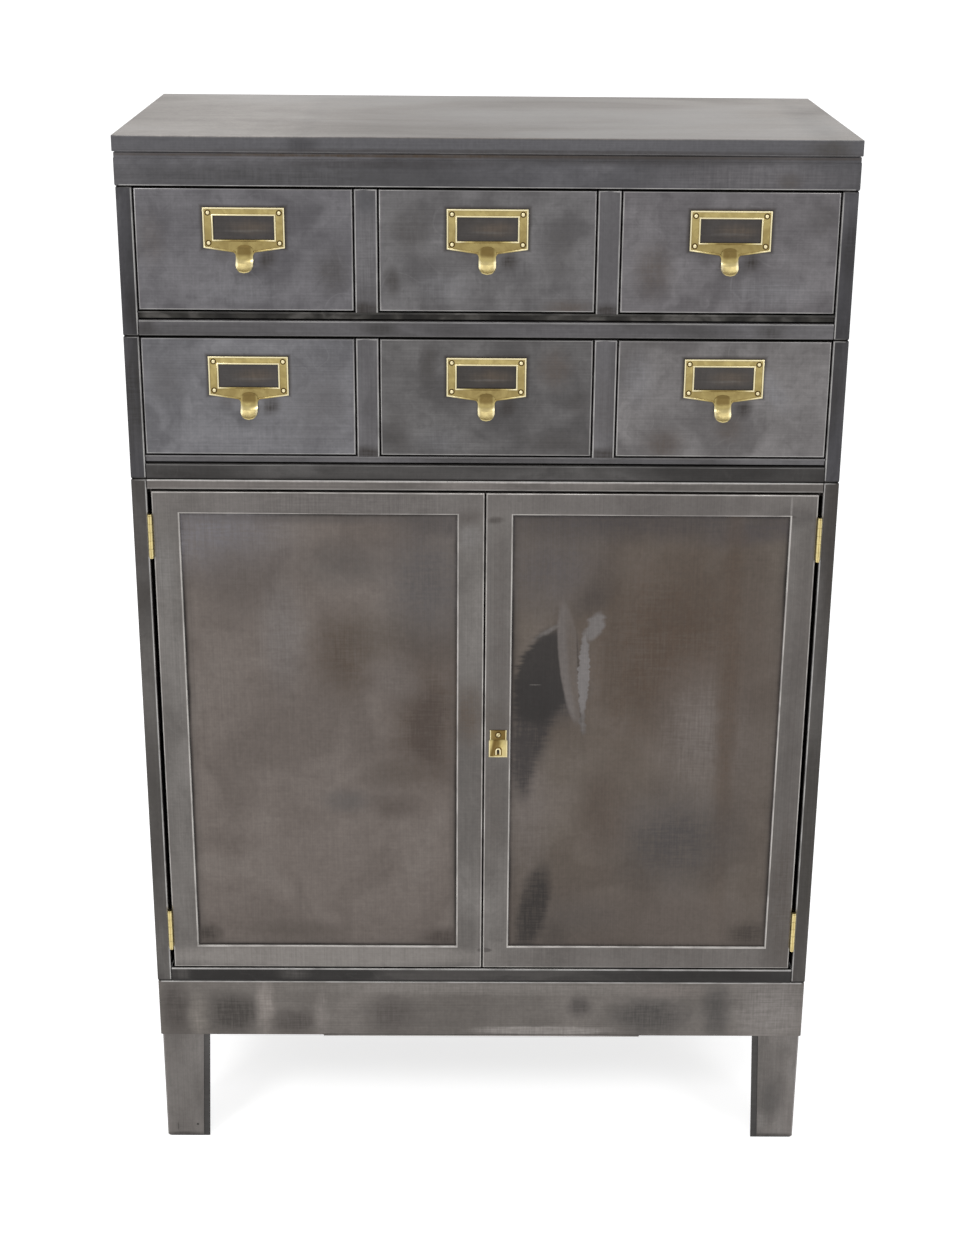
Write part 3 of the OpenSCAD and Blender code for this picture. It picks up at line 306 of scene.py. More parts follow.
def bare_steel(name, middle, dark, pale, edge=(176, 174, 172), across=ACROSS, drawn=EVENLY, cloud=0.1,
               contrast=1.0, lines=0.07, rub=0.16, smear=0.2, sheen_and_wear=0.8, up=0.3, down=0.35, shade_on_top=0.0,
               rough=0.4, seed=0.0, marks=(), top=None, window=(), plate=None):
    """drawn stretches the clouds along a narrow sheet, and rub is the strength of the crossing strokes.
    A mark is (x, z, half width, half height, softness, raggedness, colour, strength) and, if it leans or
    has combed sides, (tilt in degrees, comb); some marks are painted shadows. Each window and the plate
    are (x, z, half width, half height, fade, colour, strength): a window is painted shade inside a frame,
    and the plate darkens the steel round a label holder, partly dirt and partly painted shade. Lengths are
    in mm. A mark reaches through the sheet in y, but stays off faces that look back. top is the middle tone
    of faces that look up, a painted highlight. The strength before up and down is that of the rubbed bends
    with their painted highlight; up and down say how much of it is left on bends that face up or down,
    which paints light and shade by the way a bend faces, and the strength after them paints shade on
    faces that look up."""
    material, shader, t = new_material(name)
    coordinate = t.add("TexCoord").outputs
    place, normal = coordinate["Object"], coordinate["Normal"]
    upward = t.part(normal, "z")

    def layer(below, mask, strength, tint):
        return t.mix(t.times(mask, strength), below, rgb(*tint))

    def rectangle(x, z, wide, high, fade):
        return t.place_group(soft_rectangle, place=place, middle=(x * MM, front_y, z * MM),
                             reach=(wide * MM, THROUGH, high * MM), fade=fade * MM, seed=seed)

    stretched = t.vector("MULTIPLY", place, drawn)
    broad = t.place_group(clouds, place=stretched, size=cloud, ragged=0.45, seed=seed)
    close = t.place_group(clouds, place=stretched, size=cloud * 0.35, ragged=0.6, seed=seed + 3.1)
    mottle = t.place_group(clouds, place=place, size=6 * MM, ragged=0.6, seed=seed + 4.7)
    stroke = t.place_group(brushing, place=place, across=across, seed=seed + 7.7)
    arcs = t.place_group(smears, place=place, size=60 * MM, width=0.022, seed=seed + 1.3)
    level_rub = t.place_group(brushing, place=place, across=LEVEL_RUB, seed=seed + 5.9)
    upright_rub = t.place_group(brushing, place=place, across=UPRIGHT_RUB, seed=seed + 6.3)
    rubbed = t.times(t.plus(level_rub, upright_rub), 0.5)
    wear_and_sheen = t.place_group(bends, normal=normal, place=place, patchy=0.5, up=up, down=down, seed=seed)

    # Faces that look up may start from a lighter tone, a painted highlight.
    first = t.mix(t.step(upward, 0.9, 0.98), rgb(*middle), rgb(*top)) if top else rgb(*middle)
    colour = layer(first, t.step(broad, 0.35, 1.0), 0.8 * contrast, dark)
    colour = layer(colour, t.step(broad, 0.45, 0.0), 0.6 * contrast, pale)
    colour = layer(colour, t.step(close, 0.55, 1.0), 0.35 * contrast, dark)
    colour = layer(colour, arcs, smear, pale)
    # A window is painted shade along the inside of a frame; the plate is dirt and painted shade round a label
    # holder.
    for x, z, wide, high, fade, tint, strength in window:
        open_part = rectangle(x, z, wide - fade, high - fade, fade)
        colour = layer(colour, t.minus(1.0, open_part), strength, tint)
    if plate:
        *shape, tint, strength = plate
        colour = layer(colour, rectangle(*shape), strength, tint)

    if marks:
        unmarked = colour
        drift = t.vector("SUBTRACT", t.noise(place, 62.0, 3.0, seed + 11.0, output="Color"), (0.5, 0.5, 0.5))
        comb_lines = t.vector("MULTIPLY", place, (30.0, 1.0, 210.0))
        comb_x = t.minus(t.noise(comb_lines, 1.0, 3.0, seed + 12.0), 0.5)
        uneven_cover = t.plus(0.5, rubbed)
    for x, z, wide, high, soft, ragged, tint, strength, *more in marks:
        tilt, comb = more or (0, 0)
        spot_place = place
        if comb:
            aside = t.add("CombineXYZ", {0: t.times(comb_x, comb * MM)}).outputs[0]
            spot_place = t.vector("ADD", place, aside)
        spot = t.place_group(stain, place=spot_place, pull=drift, middle=(x * MM, front_y, z * MM),
                             reach=(wide * MM, THROUGH, high * MM), softness=soft, ragged=ragged * MM,
                             tilt=math.radians(tilt))
        cover = t.times(uneven_cover, strength) if soft > 0.3 else strength
        colour = layer(colour, spot, cover, tint)
    if marks:
        colour = t.mix(t.step(t.part(normal, "y"), 0.5, 0.9), colour, unmarked)

    ruffled = t.plus(LEVEL - lines, t.times(stroke, 2 * lines))
    ruffled = t.times(ruffled, t.plus(0.94, t.times(mottle, 0.12)))
    ruffled = t.times(ruffled, t.plus(1 - rub / 2, t.times(rubbed, rub)))
    grey = t.add("CombineXYZ", {axis: ruffled for axis in range(3)}).outputs[0]
    colour = t.mix(1.0, colour, grey, "MULTIPLY")
    # The bends: worn metal and a painted highlight, stronger or weaker by the way each bend faces.
    colour = layer(colour, wear_and_sheen, sheen_and_wear, edge)
    # Painted shade on faces that look up, such as the tops of the drawers in the gap under the rail.
    if shade_on_top:
        colour = layer(colour, t.step(upward, 0.2, 0.55), shade_on_top, TOP_SHADE)
    # Painted shade: a black line in each groove where two boxes of the stack meet.
    colour = layer(colour, t.place_group(seam_shade, place=place), 0.9, GROOVE_SHADE)
    t.feed(shader.inputs["Base Color"], colour)
    shader.inputs["Metallic"].default_value = 0.72
    softened = t.plus(rough - 0.06, t.times(broad, 0.14))
    t.feed(shader.inputs["Roughness"], t.minus(softened, t.times(wear_and_sheen, 0.1)))
    height = t.plus(t.noise(place, 9.0, 1.0, seed + 2.0), t.times(stroke, 0.006))
    bump = t.add("Bump", {"Height": height, "Strength": 0.35, "Distance": 2 * MM})
    t.feed(shader.inputs["Normal"], bump.outputs[0])
    return material


# %% [markdown]
# ## Folding sheet metal
# A press brake folds a flat blank into a box with one side open. In a mesh the quick way is the reverse:
# start from the closed box that the CAD node fills, round the edges that are bends, take away the open
# side, and give the skin its thickness inwards. Sides are named L, R, F, B, D and U for left, right, front,
# back, down and up, and an edge by the two sides that meet there, such as FU for the top front bend.

# %% Helpers: a closed box, its bends and its open side
SIDES = {"L": (-1, 0, 0), "R": (1, 0, 0), "F": (0, -1, 0), "B": (0, 1, 0), "D": (0, 0, -1), "U": (0, 0, 1)}
FLAT = 0.999


def closed_box(low, high):
    low, high = Vector(low), Vector(high)
    mesh = bmesh.new()
    bmesh.ops.create_cube(mesh, size=1)
    bmesh.ops.scale(mesh, vec=high - low, verts=mesh.verts)
    bmesh.ops.translate(mesh, vec=(low + high) / 2, verts=mesh.verts)
    return mesh


def side_of(face):
    return max(SIDES, key=lambda side: face.normal.dot(Vector(SIDES[side])))


def round_edges(mesh, edges, radius, segments=5):
    bmesh.ops.bevel(mesh, geom=edges, offset=radius, segments=segments, profile=0.5, affect="EDGES",
                    material=-1)


def fold(mesh, bend_names, radius=BEND, segments=5):
    """Rounds the edges where two named sides meet."""
    wanted = {frozenset(name) for name in bend_names.split()}
    round_edges(mesh, [e for e in mesh.edges if len(e.link_faces) == 2
                       and frozenset(side_of(f) for f in e.link_faces) in wanted], radius, segments)
    return mesh


def open_side(mesh, sides, only=None):
    """Takes away the flat faces of the named sides."""
    gone = [f for f in mesh.faces if f.normal.dot(Vector(SIDES[side_of(f)])) > FLAT
            and side_of(f) in sides and (only is None or only(f))]
    bmesh.ops.delete(mesh, geom=gone, context="FACES")
    return mesh


def give_gauge(mesh, gauge=GAUGE):
    """Thickens an open skin inwards."""
    bmesh.ops.solidify(mesh, geom=mesh.faces[:], thickness=gauge)
    return mesh


def cut_at(mesh, axis, place, within=None):
    """Adds a line of edges where the axis has this value, round the whole mesh or in the parts given."""
    point, direction = Vector((0, 0, 0)), Vector((0, 0, 0))
    point["xyz".index(axis)] = place
    direction["xyz".index(axis)] = 1
    bmesh.ops.bisect_plane(mesh, geom=within or mesh.verts[:] + mesh.edges[:] + mesh.faces[:],
                           plane_co=point, plane_no=direction)


def cut_slot(mesh, side, low, high):
    """Opens a rectangle, from low to high, in the upright wall of the left or right side."""
    def level(face):
        return low.z < face.calc_center_median().z < high.z

    outward = Vector(SIDES[side])
    for axis, place in (("z", low.z), ("z", high.z), ("y", low.y), ("y", high.y)):
        wall = [f for f in mesh.faces if f.normal.dot(outward) > FLAT and (axis == "z" or level(f))]
        around = {v for f in wall for v in f.verts} | {e for f in wall for e in f.edges}
        cut_at(mesh, axis, place, wall + list(around))
    return open_side(mesh, side, only=lambda f: low.y < f.calc_center_median().y < high.y and level(f))


def turn_faces(mesh, outward):
    """Makes the faces of an open skin agree and look outward, because the gauge is given inwards."""
    bmesh.ops.recalc_face_normals(mesh, faces=mesh.faces)
    if sum(f.normal.dot(Vector(outward)) for f in mesh.faces) < 0:
        bmesh.ops.reverse_faces(mesh, faces=mesh.faces)


def verts_in(parts):
    return [part for part in parts if isinstance(part, bmesh.types.BMVert)]


def skirt(mesh):
    """Extrudes the border of an open skin. The new vertices it gives back are still to be moved."""
    border = [e for e in mesh.edges if e.is_boundary]
    return verts_in(bmesh.ops.extrude_edge_only(mesh, edges=border)["geom"])


# %% [markdown]
# Shading has to stay flat on the flats and turn only in the bends. Smooth shading alone would bulge the
# flats, so edges over 40 degrees stay sharp and a Weighted Normal modifier lets the large faces decide.

# %% Helper: from mesh to finished piece
slots = {part["node"]: part["material_slot"] for part in frame["record"]["subparts"]}


def linked(name, data):
    thing = bpy.data.objects.new(name, data)
    bpy.context.collection.objects.link(thing)
    return thing


def finish(mesh, name, material, node, sharp=40):
    """Makes the piece that stands for a CAD node, with its material and body."""
    data = bpy.data.meshes.new(name)
    bmesh.ops.recalc_face_normals(mesh, faces=mesh.faces)
    mesh.to_mesh(data)
    mesh.free()
    data.shade_smooth()
    data.set_sharp_from_angle(angle=math.radians(sharp))
    piece = linked(name, data)
    data.materials.append(material)
    flats = piece.modifiers.new("flat faces lead", "WEIGHTED_NORMAL")
    flats.keep_sharp = True
    flats.weight = 90
    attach(piece, nodes[node]["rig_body"])
    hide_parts(node)
    print("piece:", name, len(data.polygons), "faces")
    return piece


def merged(*meshes):
    """One bmesh that holds all of these."""
    whole = bmesh.new()
    for part in meshes:
        carrier = bpy.data.meshes.new("carrier")
        part.to_mesh(carrier)
        part.free()
        whole.from_mesh(carrier)
        bpy.data.meshes.remove(carrier)
    return whole


# %% [markdown]
# ## The finishes
# One material for each kind of sheet. The first three colours are the middle tone, the dark tone and the
# pale tone, as they look on a screen. On the cap and the apron the faces that look up get a lighter tone, a
# painted highlight, so the cap's top is the brightest. The posts and the rails are darker; on the bottom rail
# under the doors that dark tone is painted shade. The marks are what makes each sheet its own: the recipe
# lays them on in this order, so a later one covers an earlier one.

# %% Materials of the shell
cap_steel = bare_steel(
    "cap steel", (92, 91, 94), (78, 77, 79), (104, 103, 106), drawn=(0.45, 1.0, 1.0), cloud=0.14,
    contrast=0.3, smear=0.0, sheen_and_wear=0.45, top=(142, 135, 129), seed=1.0, marks=[
        (-208, 1300, 16, 8, 0.8, 6, (64, 63, 65), 0.7), (384, 1299, 22, 9, 0.8, 8, (76, 73, 71), 0.8),
        (60, 1293, 380, 3, 0.5, 2, (58, 54, 52), 0.5), (30, 1309.2, 200, 1.4, 0.9, 0, (112, 106, 101), 0.9),
        (-300, 1309.2, 100, 1.4, 0.9, 0, (156, 150, 145), 0.7)])
band_steel = bare_steel(
    "band steel", (88, 87, 90), (66, 65, 67), (112, 110, 113), drawn=(0.5, 1.0, 1.0), cloud=0.06,
    contrast=0.9, smear=0.1, down=1.0, seed=2.0, marks=[
        (0, 1288.2, 440, 1.8, 0.6, 1, (70, 59, 49), 0.8), (190, 1285, 170, 5, 0.7, 4, (64, 62, 63), 0.7),
        (300, 1268, 90, 14, 0.9, 10, (108, 105, 107), 0.6), (340, 1262, 12, 9, 0.8, 6, (84, 80, 79), 0.8),
        (-230, 1264, 190, 13, 0.7, 12, (70, 69, 70), 0.75), (-110, 1279, 120, 5, 0.7, 4, (62, 60, 61), 0.7)])
post_steel = bare_steel(
    "upper post steel", (71, 70, 73), (48, 47, 48), (96, 95, 98), across=UPRIGHT, drawn=ALONG_Z, cloud=0.05,
    contrast=0.9, smear=0.1, sheen_and_wear=0.7, seed=3.0, marks=[
        (-410, 1010, 14, 60, 0.7, 8, (50, 48, 47), 0.75), (412, 1190, 8, 34, 0.8, 6, (50, 48, 49), 0.7),
        (408, 1020, 10, 40, 0.8, 8, (54, 52, 51), 0.6), (-406, 1110, 9, 22, 0.8, 6, (40, 38, 37), 0.6)])
low_post_steel = bare_steel(
    "lower post steel", (79, 76, 74), (58, 54, 51), (98, 95, 92), across=UPRIGHT, drawn=ALONG_Z, cloud=0.07,
    contrast=0.9, smear=0.1, sheen_and_wear=0.7, seed=4.0, marks=[
        (410, 450, 16, 150, 0.4, 10, (60, 57, 54), 0.8), (-410, 520, 16, 70, 0.7, 10, (66, 63, 60), 0.6)])
rail_steel = bare_steel(
    "upper rail steel", (94, 92, 94), (68, 66, 66), (112, 110, 112), drawn=ALONG_X, cloud=0.06, contrast=0.8,
    seed=5.0, marks=[
        (-123, 1091, 18, 9, 0.8, 6, (60, 58, 57), 0.7), (327, 1091, 16, 9, 0.8, 6, (62, 60, 59), 0.7),
        (-392, 1091, 10, 12, 0.7, 5, (58, 56, 55), 0.6)])
head_steel = bare_steel(
    "door head steel", (108, 103, 100), (88, 84, 81), (122, 117, 113), drawn=ALONG_X, cloud=0.06, up=1.0,
    seed=5.1, marks=[
        (0, 909, 420, 1.1, 0.5, 1, (172, 167, 163), 0.8)])
# The floor under the upper drawers shows as a lip over a groove; its dark tone is partly painted shade in
# that groove.
ledge_steel = bare_steel(
    "upper ledge steel", (52, 50, 47), (24, 22, 21), (96, 93, 90), cloud=0.03, sheen_and_wear=0.35, seed=5.2)
# The bottom rail under the doors: its dark tone is a painted dark reflection on its face, and the two lighter
# spots at its left end are the lighter part of that painted reflection.
shaded_foot_rail_steel = bare_steel(
    "bottom rail steel", (48, 46, 45), (38, 36, 35), (78, 75, 73), drawn=ALONG_X, cloud=0.06, up=1.0,
    seed=5.3, marks=[
        (-243, 247, 16, 7, 0.8, 5, (76, 73, 71), 0.7), (-388, 247, 10, 9, 0.8, 5, (80, 77, 75), 0.6)])
dark_rail_steel = bare_steel(
    "lower rail steel", (68, 66, 65), (46, 44, 43), (90, 88, 87), drawn=ALONG_X, cloud=0.06, up=0.0, seed=5.5)
stile_steel = bare_steel(
    "divider steel", (99, 97, 99), (76, 74, 75), (116, 114, 116), across=UPRIGHT, drawn=ALONG_Z, cloud=0.05,
    contrast=0.8, seed=6.0, marks=[
        *((x, z, 17, 8, 0.7, 8, (56, 52, 50), 0.85) for x in (-138, 138) for z in (1114, 943)),
        (-138, 1235, 10, 14, 0.8, 8, (76, 76, 79), 0.7), (138, 1000, 16, 40, 0.8, 8, (82, 79, 79), 0.6),
        (-138, 1180, 20, 42, 0.7, 8, (110, 108, 110), 0.7), (138, 1190, 20, 54, 0.7, 8, (88, 86, 88), 0.75)])
base_steel = bare_steel(
    "apron steel", (104, 99, 95), (90, 85, 81), (118, 112, 108), drawn=(0.7, 1.0, 1.0), cloud=0.08,
    contrast=0.6, smear=0.1, up=1.0, down=0.6, top=(128, 123, 119), seed=7.0, marks=[
        (-398, 196, 17, 40, 0.7, 10, (74, 69, 66), 0.85), (-366, 184, 13, 24, 0.8, 10, (126, 120, 114), 0.7),
        (-323, 187, 32, 28, 0.7, 16, (66, 62, 59), 0.9), (-281, 202, 10, 36, 0.7, 8, (136, 129, 124), 0.8),
        (-244, 175, 30, 18, 0.7, 12, (72, 67, 64), 0.8), (-208, 190, 8, 28, 0.8, 6, (124, 118, 114), 0.7),
        (-117, 187, 30, 27, 0.8, 16, (78, 73, 70), 0.8), (-10, 226, 220, 8, 0.8, 8, (122, 117, 113), 0.6),
        (80, 164, 84, 6, 0.35, 6, (140, 135, 131), 0.75), (127, 200, 14, 14, 0.7, 8, (72, 68, 66), 0.8),
        (221, 186, 46, 26, 0.7, 16, (70, 67, 65), 0.85), (250, 223, 40, 9, 0.8, 8, (116, 109, 105), 0.6),
        (306, 194, 17, 40, 0.7, 10, (76, 73, 71), 0.85), (376, 196, 42, 44, 0.7, 14, (128, 123, 120), 0.75),
        (0, 155, 215, 3, 0.3, 0, (158, 154, 150), 0.8)])
leg_steel = bare_steel(
    "leg steel", (112, 107, 104), (92, 88, 85), (124, 120, 117), across=UPRIGHT, drawn=ALONG_Z, cloud=0.04,
    contrast=0.8, smear=0.25, seed=8.0, marks=[
        (-376, 18, 1.6, 1.7, 0.2, 0, (30, 28, 27), 1.0), (-402, 15, 0.8, 6, 0.4, 0, (44, 42, 40), 0.9),
        (-396, 90, 30, 90, 0.7, 14, (98, 94, 91), 0.5), (-372, 70, 10, 30, 0.8, 10, (92, 88, 85), 0.6),
        (384, 58, 14, 26, 0.8, 12, (86, 83, 81), 0.7), (370, 24, 10, 12, 0.8, 10, (126, 122, 119), 0.6),
        (392, 130, 12, 14, 0.8, 8, (96, 92, 89), 0.6),
        *((x, 3, 26, 3, 0.7, 2, (58, 55, 53), 0.7) for x in (-391, 391))])
inner_steel = bare_steel(
    "inner steel", (78, 76, 75), (62, 60, 59), (92, 90, 88), cloud=0.2, contrast=0.6, smear=0.0, rough=0.5,
    seed=9.0)

# %% [markdown]
# All six drawers share one recipe, and a short list gives each of them its tone and its own marks. Round
# every label holder the steel is darker, partly dirt and partly painted shade, its window shows a brown
# trace, and two painted shadows of the finger tab lie beside it. Those are placed from the holder's own box,
# so that they stay with it. The top of each drawer, in the gap under the rail above, gets a painted shade.

# %% Materials of the drawers
DARK, BROWN, PALE = (72, 69, 68), (86, 79, 75), (126, 125, 128)
PLATE_MIDDLE = 22.8
drawer_looks = [
    ((103, 101, 104), [
        (-176, 1157, 16, 20, 0.8, 12, DARK, 0.6), (-382, 1192, 14, 24, 0.8, 12, BROWN, 0.35),
        (-287, 1134, 40, 12, 0.8, 10, PALE, 0.35)]),
    ((103, 101, 102), [
        (-87, 1206, 20, 22, 0.8, 14, DARK, 0.6), (-108, 1147, 8, 14, 0.7, 8, DARK, 0.75),
        (92, 1117, 22, 8, 0.8, 10, BROWN, 0.8), (83, 1184, 16, 28, 0.8, 14, DARK, 0.35),
        (-50, 1140, 26, 14, 0.8, 14, PALE, 0.3)]),
    ((107, 104, 106), [
        (190, 1160, 18, 26, 0.8, 12, BROWN, 0.6), (325, 1138, 40, 14, 0.8, 14, PALE, 0.4),
        (380, 1222, 16, 16, 0.8, 12, DARK, 0.4)]),
    ((111, 110, 113), [
        (-372, 1029, 16, 20, 0.8, 10, DARK, 0.3), (-265, 959, 60, 14, 0.8, 12, PALE, 0.4),
        (-182, 1008, 18, 16, 0.8, 10, DARK, 0.3), (-196, 1000, 36, 44, 0.9, 14, (99, 97, 99), 0.6)]),
    ((94, 92, 92), [
        (-68, 1048, 9, 24, 0.7, 12, DARK, 0.7), (-105, 970, 14, 22, 0.8, 12, DARK, 0.6),
        (79, 1046, 16, 20, 0.8, 14, BROWN, 0.7), (109, 1005, 12, 14, 0.8, 10, DARK, 0.6),
        (85, 954, 34, 14, 0.8, 12, DARK, 0.65), (-54, 958, 22, 14, 0.8, 12, PALE, 0.25)]),
    ((112, 109, 109), [
        (209, 956, 20, 16, 0.8, 12, BROWN, 0.7), (285, 976, 14, 14, 0.8, 10, BROWN, 0.6),
        (334, 1022, 10, 26, 0.8, 12, PALE, 0.5, 35, 0), (176, 1034, 14, 26, 0.8, 12, PALE, 0.4)])]


def drawer_look(n, tone, spots):
    low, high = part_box(f"drawer_{n}_pull")
    x, z = (low.x + high.x) / 2 / MM, high.z / MM - PLATE_MIDDLE
    label = [(x + 8, z, 18, 6, 0.9, 9, (98, 86, 74), 0.5),
             (x + 2, z - 4, 18, 1.2, 0.9, 3, (106, 104, 102), 0.35)]
    # Painted shadows of the finger tab: a dark one below to the right and a fainter one to the left.
    tab_shadows = [(x + 25, z - 36, 8, 10, 0.9, 3, (58, 54, 52), 0.8, -35, 0),
                  (x - 25, z - 30, 9, 8, 0.9, 3, (80, 77, 77), 0.5)]
    return bare_steel(
        f"drawer {n} steel", tone, tuple(c - 22 for c in tone), tuple(c + 16 for c in tone), cloud=0.055,
        # The strength for faces that look up paints shade on the drawer's top, in the gap under the rail
        # above.
        contrast=0.85, smear=0.35, up=0.0, down=0.5, shade_on_top=0.9, seed=20.0 + 3.3 * n,
        # The plate darkens the steel round and behind the label holder, partly dirt and partly painted shade.
        marks=spots + label + tab_shadows, plate=(x, z, 46.5, 22.6, 5, (60, 56, 53), 0.85))


drawer_steel = {n: drawer_look(n, *look) for n, look in enumerate(drawer_looks, 1)}

# %% [markdown]
# The doors get three materials, one for both frames and one for each panel. The panels carry the most marks:
# brown clouds where the heat was, and on the right one a black patch with a pale scratch through it. Inside
# the frames a wide painted shade and a narrow painted dark line follow the border of each panel, where the
# frame shades it.


# %% Materials of the doors
def in_the_window(x, shade, line):
    # Painted shade inside a door frame: a wide soft band and a narrow dark line along the panel's border.
    return [(x, 578, 164.8, 289.6, 14, shade, 0.5), (x, 578, 165.2, 290, 5.5, line, 0.97)]


frame_steel = bare_steel(
    "door frame steel", (106, 102, 99), (86, 82, 79), (122, 118, 115), edge=(178, 174, 170), across=UPRIGHT,
    drawn=(1.0, 1.0, 0.6), cloud=0.08, contrast=0.7, sheen_and_wear=0.9, up=0.9, down=0.2, seed=50.0, marks=[
        (-200, 274, 200, 16, 0.3, 6, (132, 127, 123), 0.7), (205, 272, 190, 16, 0.4, 8, (98, 93, 90), 0.6),
        (18, 720, 14, 130, 0.8, 12, (90, 85, 82), 0.7), (-18, 610, 18, 34, 0.8, 10, (86, 76, 68), 0.7),
        (388, 560, 20, 240, 0.5, 14, (84, 79, 76), 0.5), (372, 868, 26, 12, 0.6, 8, (84, 80, 78), 0.7),
        (-20, 866, 14, 10, 0.8, 8, (82, 76, 73), 0.6), (12, 862, 9, 4, 0.6, 4, (72, 67, 64), 0.7),
        (-385, 800, 12, 30, 0.8, 8, (122, 119, 117), 0.5), (-18, 840, 12, 14, 0.8, 8, (118, 115, 114), 0.5),
        (3, 283, 9, 3, 0.25, 1, (74, 70, 68), 0.8), (18, 600, 16, 26, 0.8, 6, (84, 78, 73), 0.6),
        (364, 881, 1.2, 13, 0.5, 1, (150, 146, 143), 0.7), (12, 470, 12, 60, 0.9, 10, (94, 88, 84), 0.5),
        (205, 881, 180, 14, 0.5, 8, (96, 91, 89), 0.6), (-200, 881, 180, 14, 0.6, 10, (112, 107, 105), 0.6),
        (384, 360, 22, 90, 0.7, 12, (78, 72, 68), 0.7), (380, 740, 22, 70, 0.8, 12, (92, 87, 84), 0.6),
        (348, 868, 20, 2, 0.4, 3, (62, 57, 54), 0.8)])
left_panel_steel = bare_steel(
    "left panel steel", (105, 97, 92), (90, 82, 77), (113, 106, 101), across=UPRIGHT, cloud=0.09, smear=0.05,
    contrast=0.6, lines=0.045, seed=51.0,
    window=in_the_window(-198.4, (78, 72, 68), (30, 27, 25)), marks=[
        (-325, 845, 70, 45, 0.9, 20, (106, 103, 106), 0.8), (-293, 783, 45, 40, 0.9, 26, (84, 77, 73), 0.7),
        (-168, 805, 46, 24, 0.9, 20, (86, 81, 78), 0.7), (-245, 715, 22, 60, 0.8, 14, (108, 103, 101), 0.6),
        (-170, 692, 34, 46, 0.9, 24, (80, 70, 62), 0.85), (-100, 712, 54, 30, 0.9, 26, (82, 74, 67), 0.75),
        (-73, 607, 40, 84, 0.9, 30, (78, 68, 61), 0.9), (-70, 590, 20, 44, 0.6, 26, (70, 61, 56), 0.6),
        (-70, 780, 40, 66, 0.9, 20, (84, 80, 79), 0.9), (-106, 655, 26, 30, 0.8, 16, (104, 97, 93), 0.6),
        (-110, 530, 36, 18, 0.8, 14, (84, 76, 70), 0.7), (-170, 492, 24, 14, 0.8, 12, (86, 82, 80), 0.7),
        (-114, 484, 24, 15, 0.8, 12, (82, 74, 69), 0.7), (-352, 303, 16, 12, 0.8, 8, (60, 54, 50), 0.85),
        (-48, 300, 26, 12, 0.8, 8, (66, 59, 55), 0.8), (-235, 310, 54, 12, 0.8, 12, (82, 75, 70), 0.6),
        (-45, 854, 44, 12, 0.8, 12, (76, 72, 71), 0.7), (-200, 862, 160, 6, 0.9, 5, (80, 76, 75), 0.4)])
right_panel_steel = bare_steel(
    "right panel steel", (95, 87, 80), (79, 70, 63), (103, 95, 90), across=UPRIGHT, cloud=0.09, smear=0.05,
    contrast=0.6, lines=0.045, seed=52.0,
    window=in_the_window(198.4, (72, 66, 62), (28, 25, 24)), marks=[
        (200, 856, 180, 18, 0.9, 10, (70, 66, 66), 0.8),
        (320, 846, 50, 12, 0.8, 10, (74, 69, 69), 0.7, 12, 0), (84, 800, 60, 46, 0.9, 20, (84, 79, 78), 0.8),
        (330, 600, 34, 150, 0.9, 20, (88, 80, 75), 0.6), (180, 320, 170, 50, 0.9, 30, (82, 74, 69), 0.75),
        (225, 690, 90, 115, 0.9, 40, (78, 66, 57), 0.9), (268, 585, 44, 74, 0.9, 24, (106, 99, 95), 0.7),
        (300, 640, 12, 230, 0.8, 16, (82, 70, 61), 0.7), (240, 440, 66, 54, 0.9, 26, (70, 66, 65), 0.85),
        (150, 470, 30, 60, 0.9, 20, (80, 70, 63), 0.7), (56, 480, 22, 90, 0.9, 16, (100, 93, 89), 0.7),
        (110, 330, 50, 22, 0.9, 18, (78, 72, 68), 0.6), (342, 305, 24, 16, 0.8, 10, (60, 54, 50), 0.8),
        (132, 762, 24, 16, 0.9, 14, (66, 60, 57), 0.55, 40, 0),
        (155, 690, 10, 60, 0.9, 10, (76, 66, 58), 0.6),
        (98, 634, 22, 32, 0.7, 8, (60, 56, 55), 0.85, -24, 12),
        (60, 606, 24, 66, 0.4, 8, (56, 52, 51), 0.9, -6, 18),
        (49, 540, 13, 42, 0.5, 8, (58, 54, 53), 0.85, 0, 16),
        (75, 660, 36, 66, 0.16, 8, (47, 44, 43), 0.95, -16, 24),
        (80, 722, 20, 2.2, 0.7, 7, (108, 104, 102), 0.5, 32, 0),
        (63, 650, 7, 0.7, 0.4, 1, (104, 100, 97), 0.7), (105, 678, 13, 78, 0.12, 2, (102, 96, 93), 0.9, 7, 0),
        (112, 672, 9, 70, 0.4, 2, (90, 82, 76), 0.8, 7, 0),
        (117, 650, 1.6, 60, 0.5, 1, (64, 57, 53), 0.8, 4, 0),
        (122, 664, 6.5, 54, 0.16, 6, (112, 108, 107), 0.95, 0, 8),
        (134, 726, 9, 19, 0.3, 8, (110, 106, 105), 0.85, -20, 10),
        (123, 600, 4, 14, 0.4, 8, (98, 94, 92), 0.7, 0, 8),
        (64, 340, 18, 60, 0.4, 12, (50, 46, 44), 0.9, -10, 10),
        (92, 300, 18, 22, 0.6, 10, (68, 62, 58), 0.7)])

# %% [markdown]
# ## Brass
# The pulls, the hinges and the lock plate are cast or pressed brass. Rubbed edges are bright yellow and the
# low places keep a brown film. On the hinges the bend mask finds the rubbed edges and also paints a highlight
# on them. The pulls and the lock plate are handled in known places, so there each vertex carries its own
# value of polish and of painted light and shade, and the material reads it.


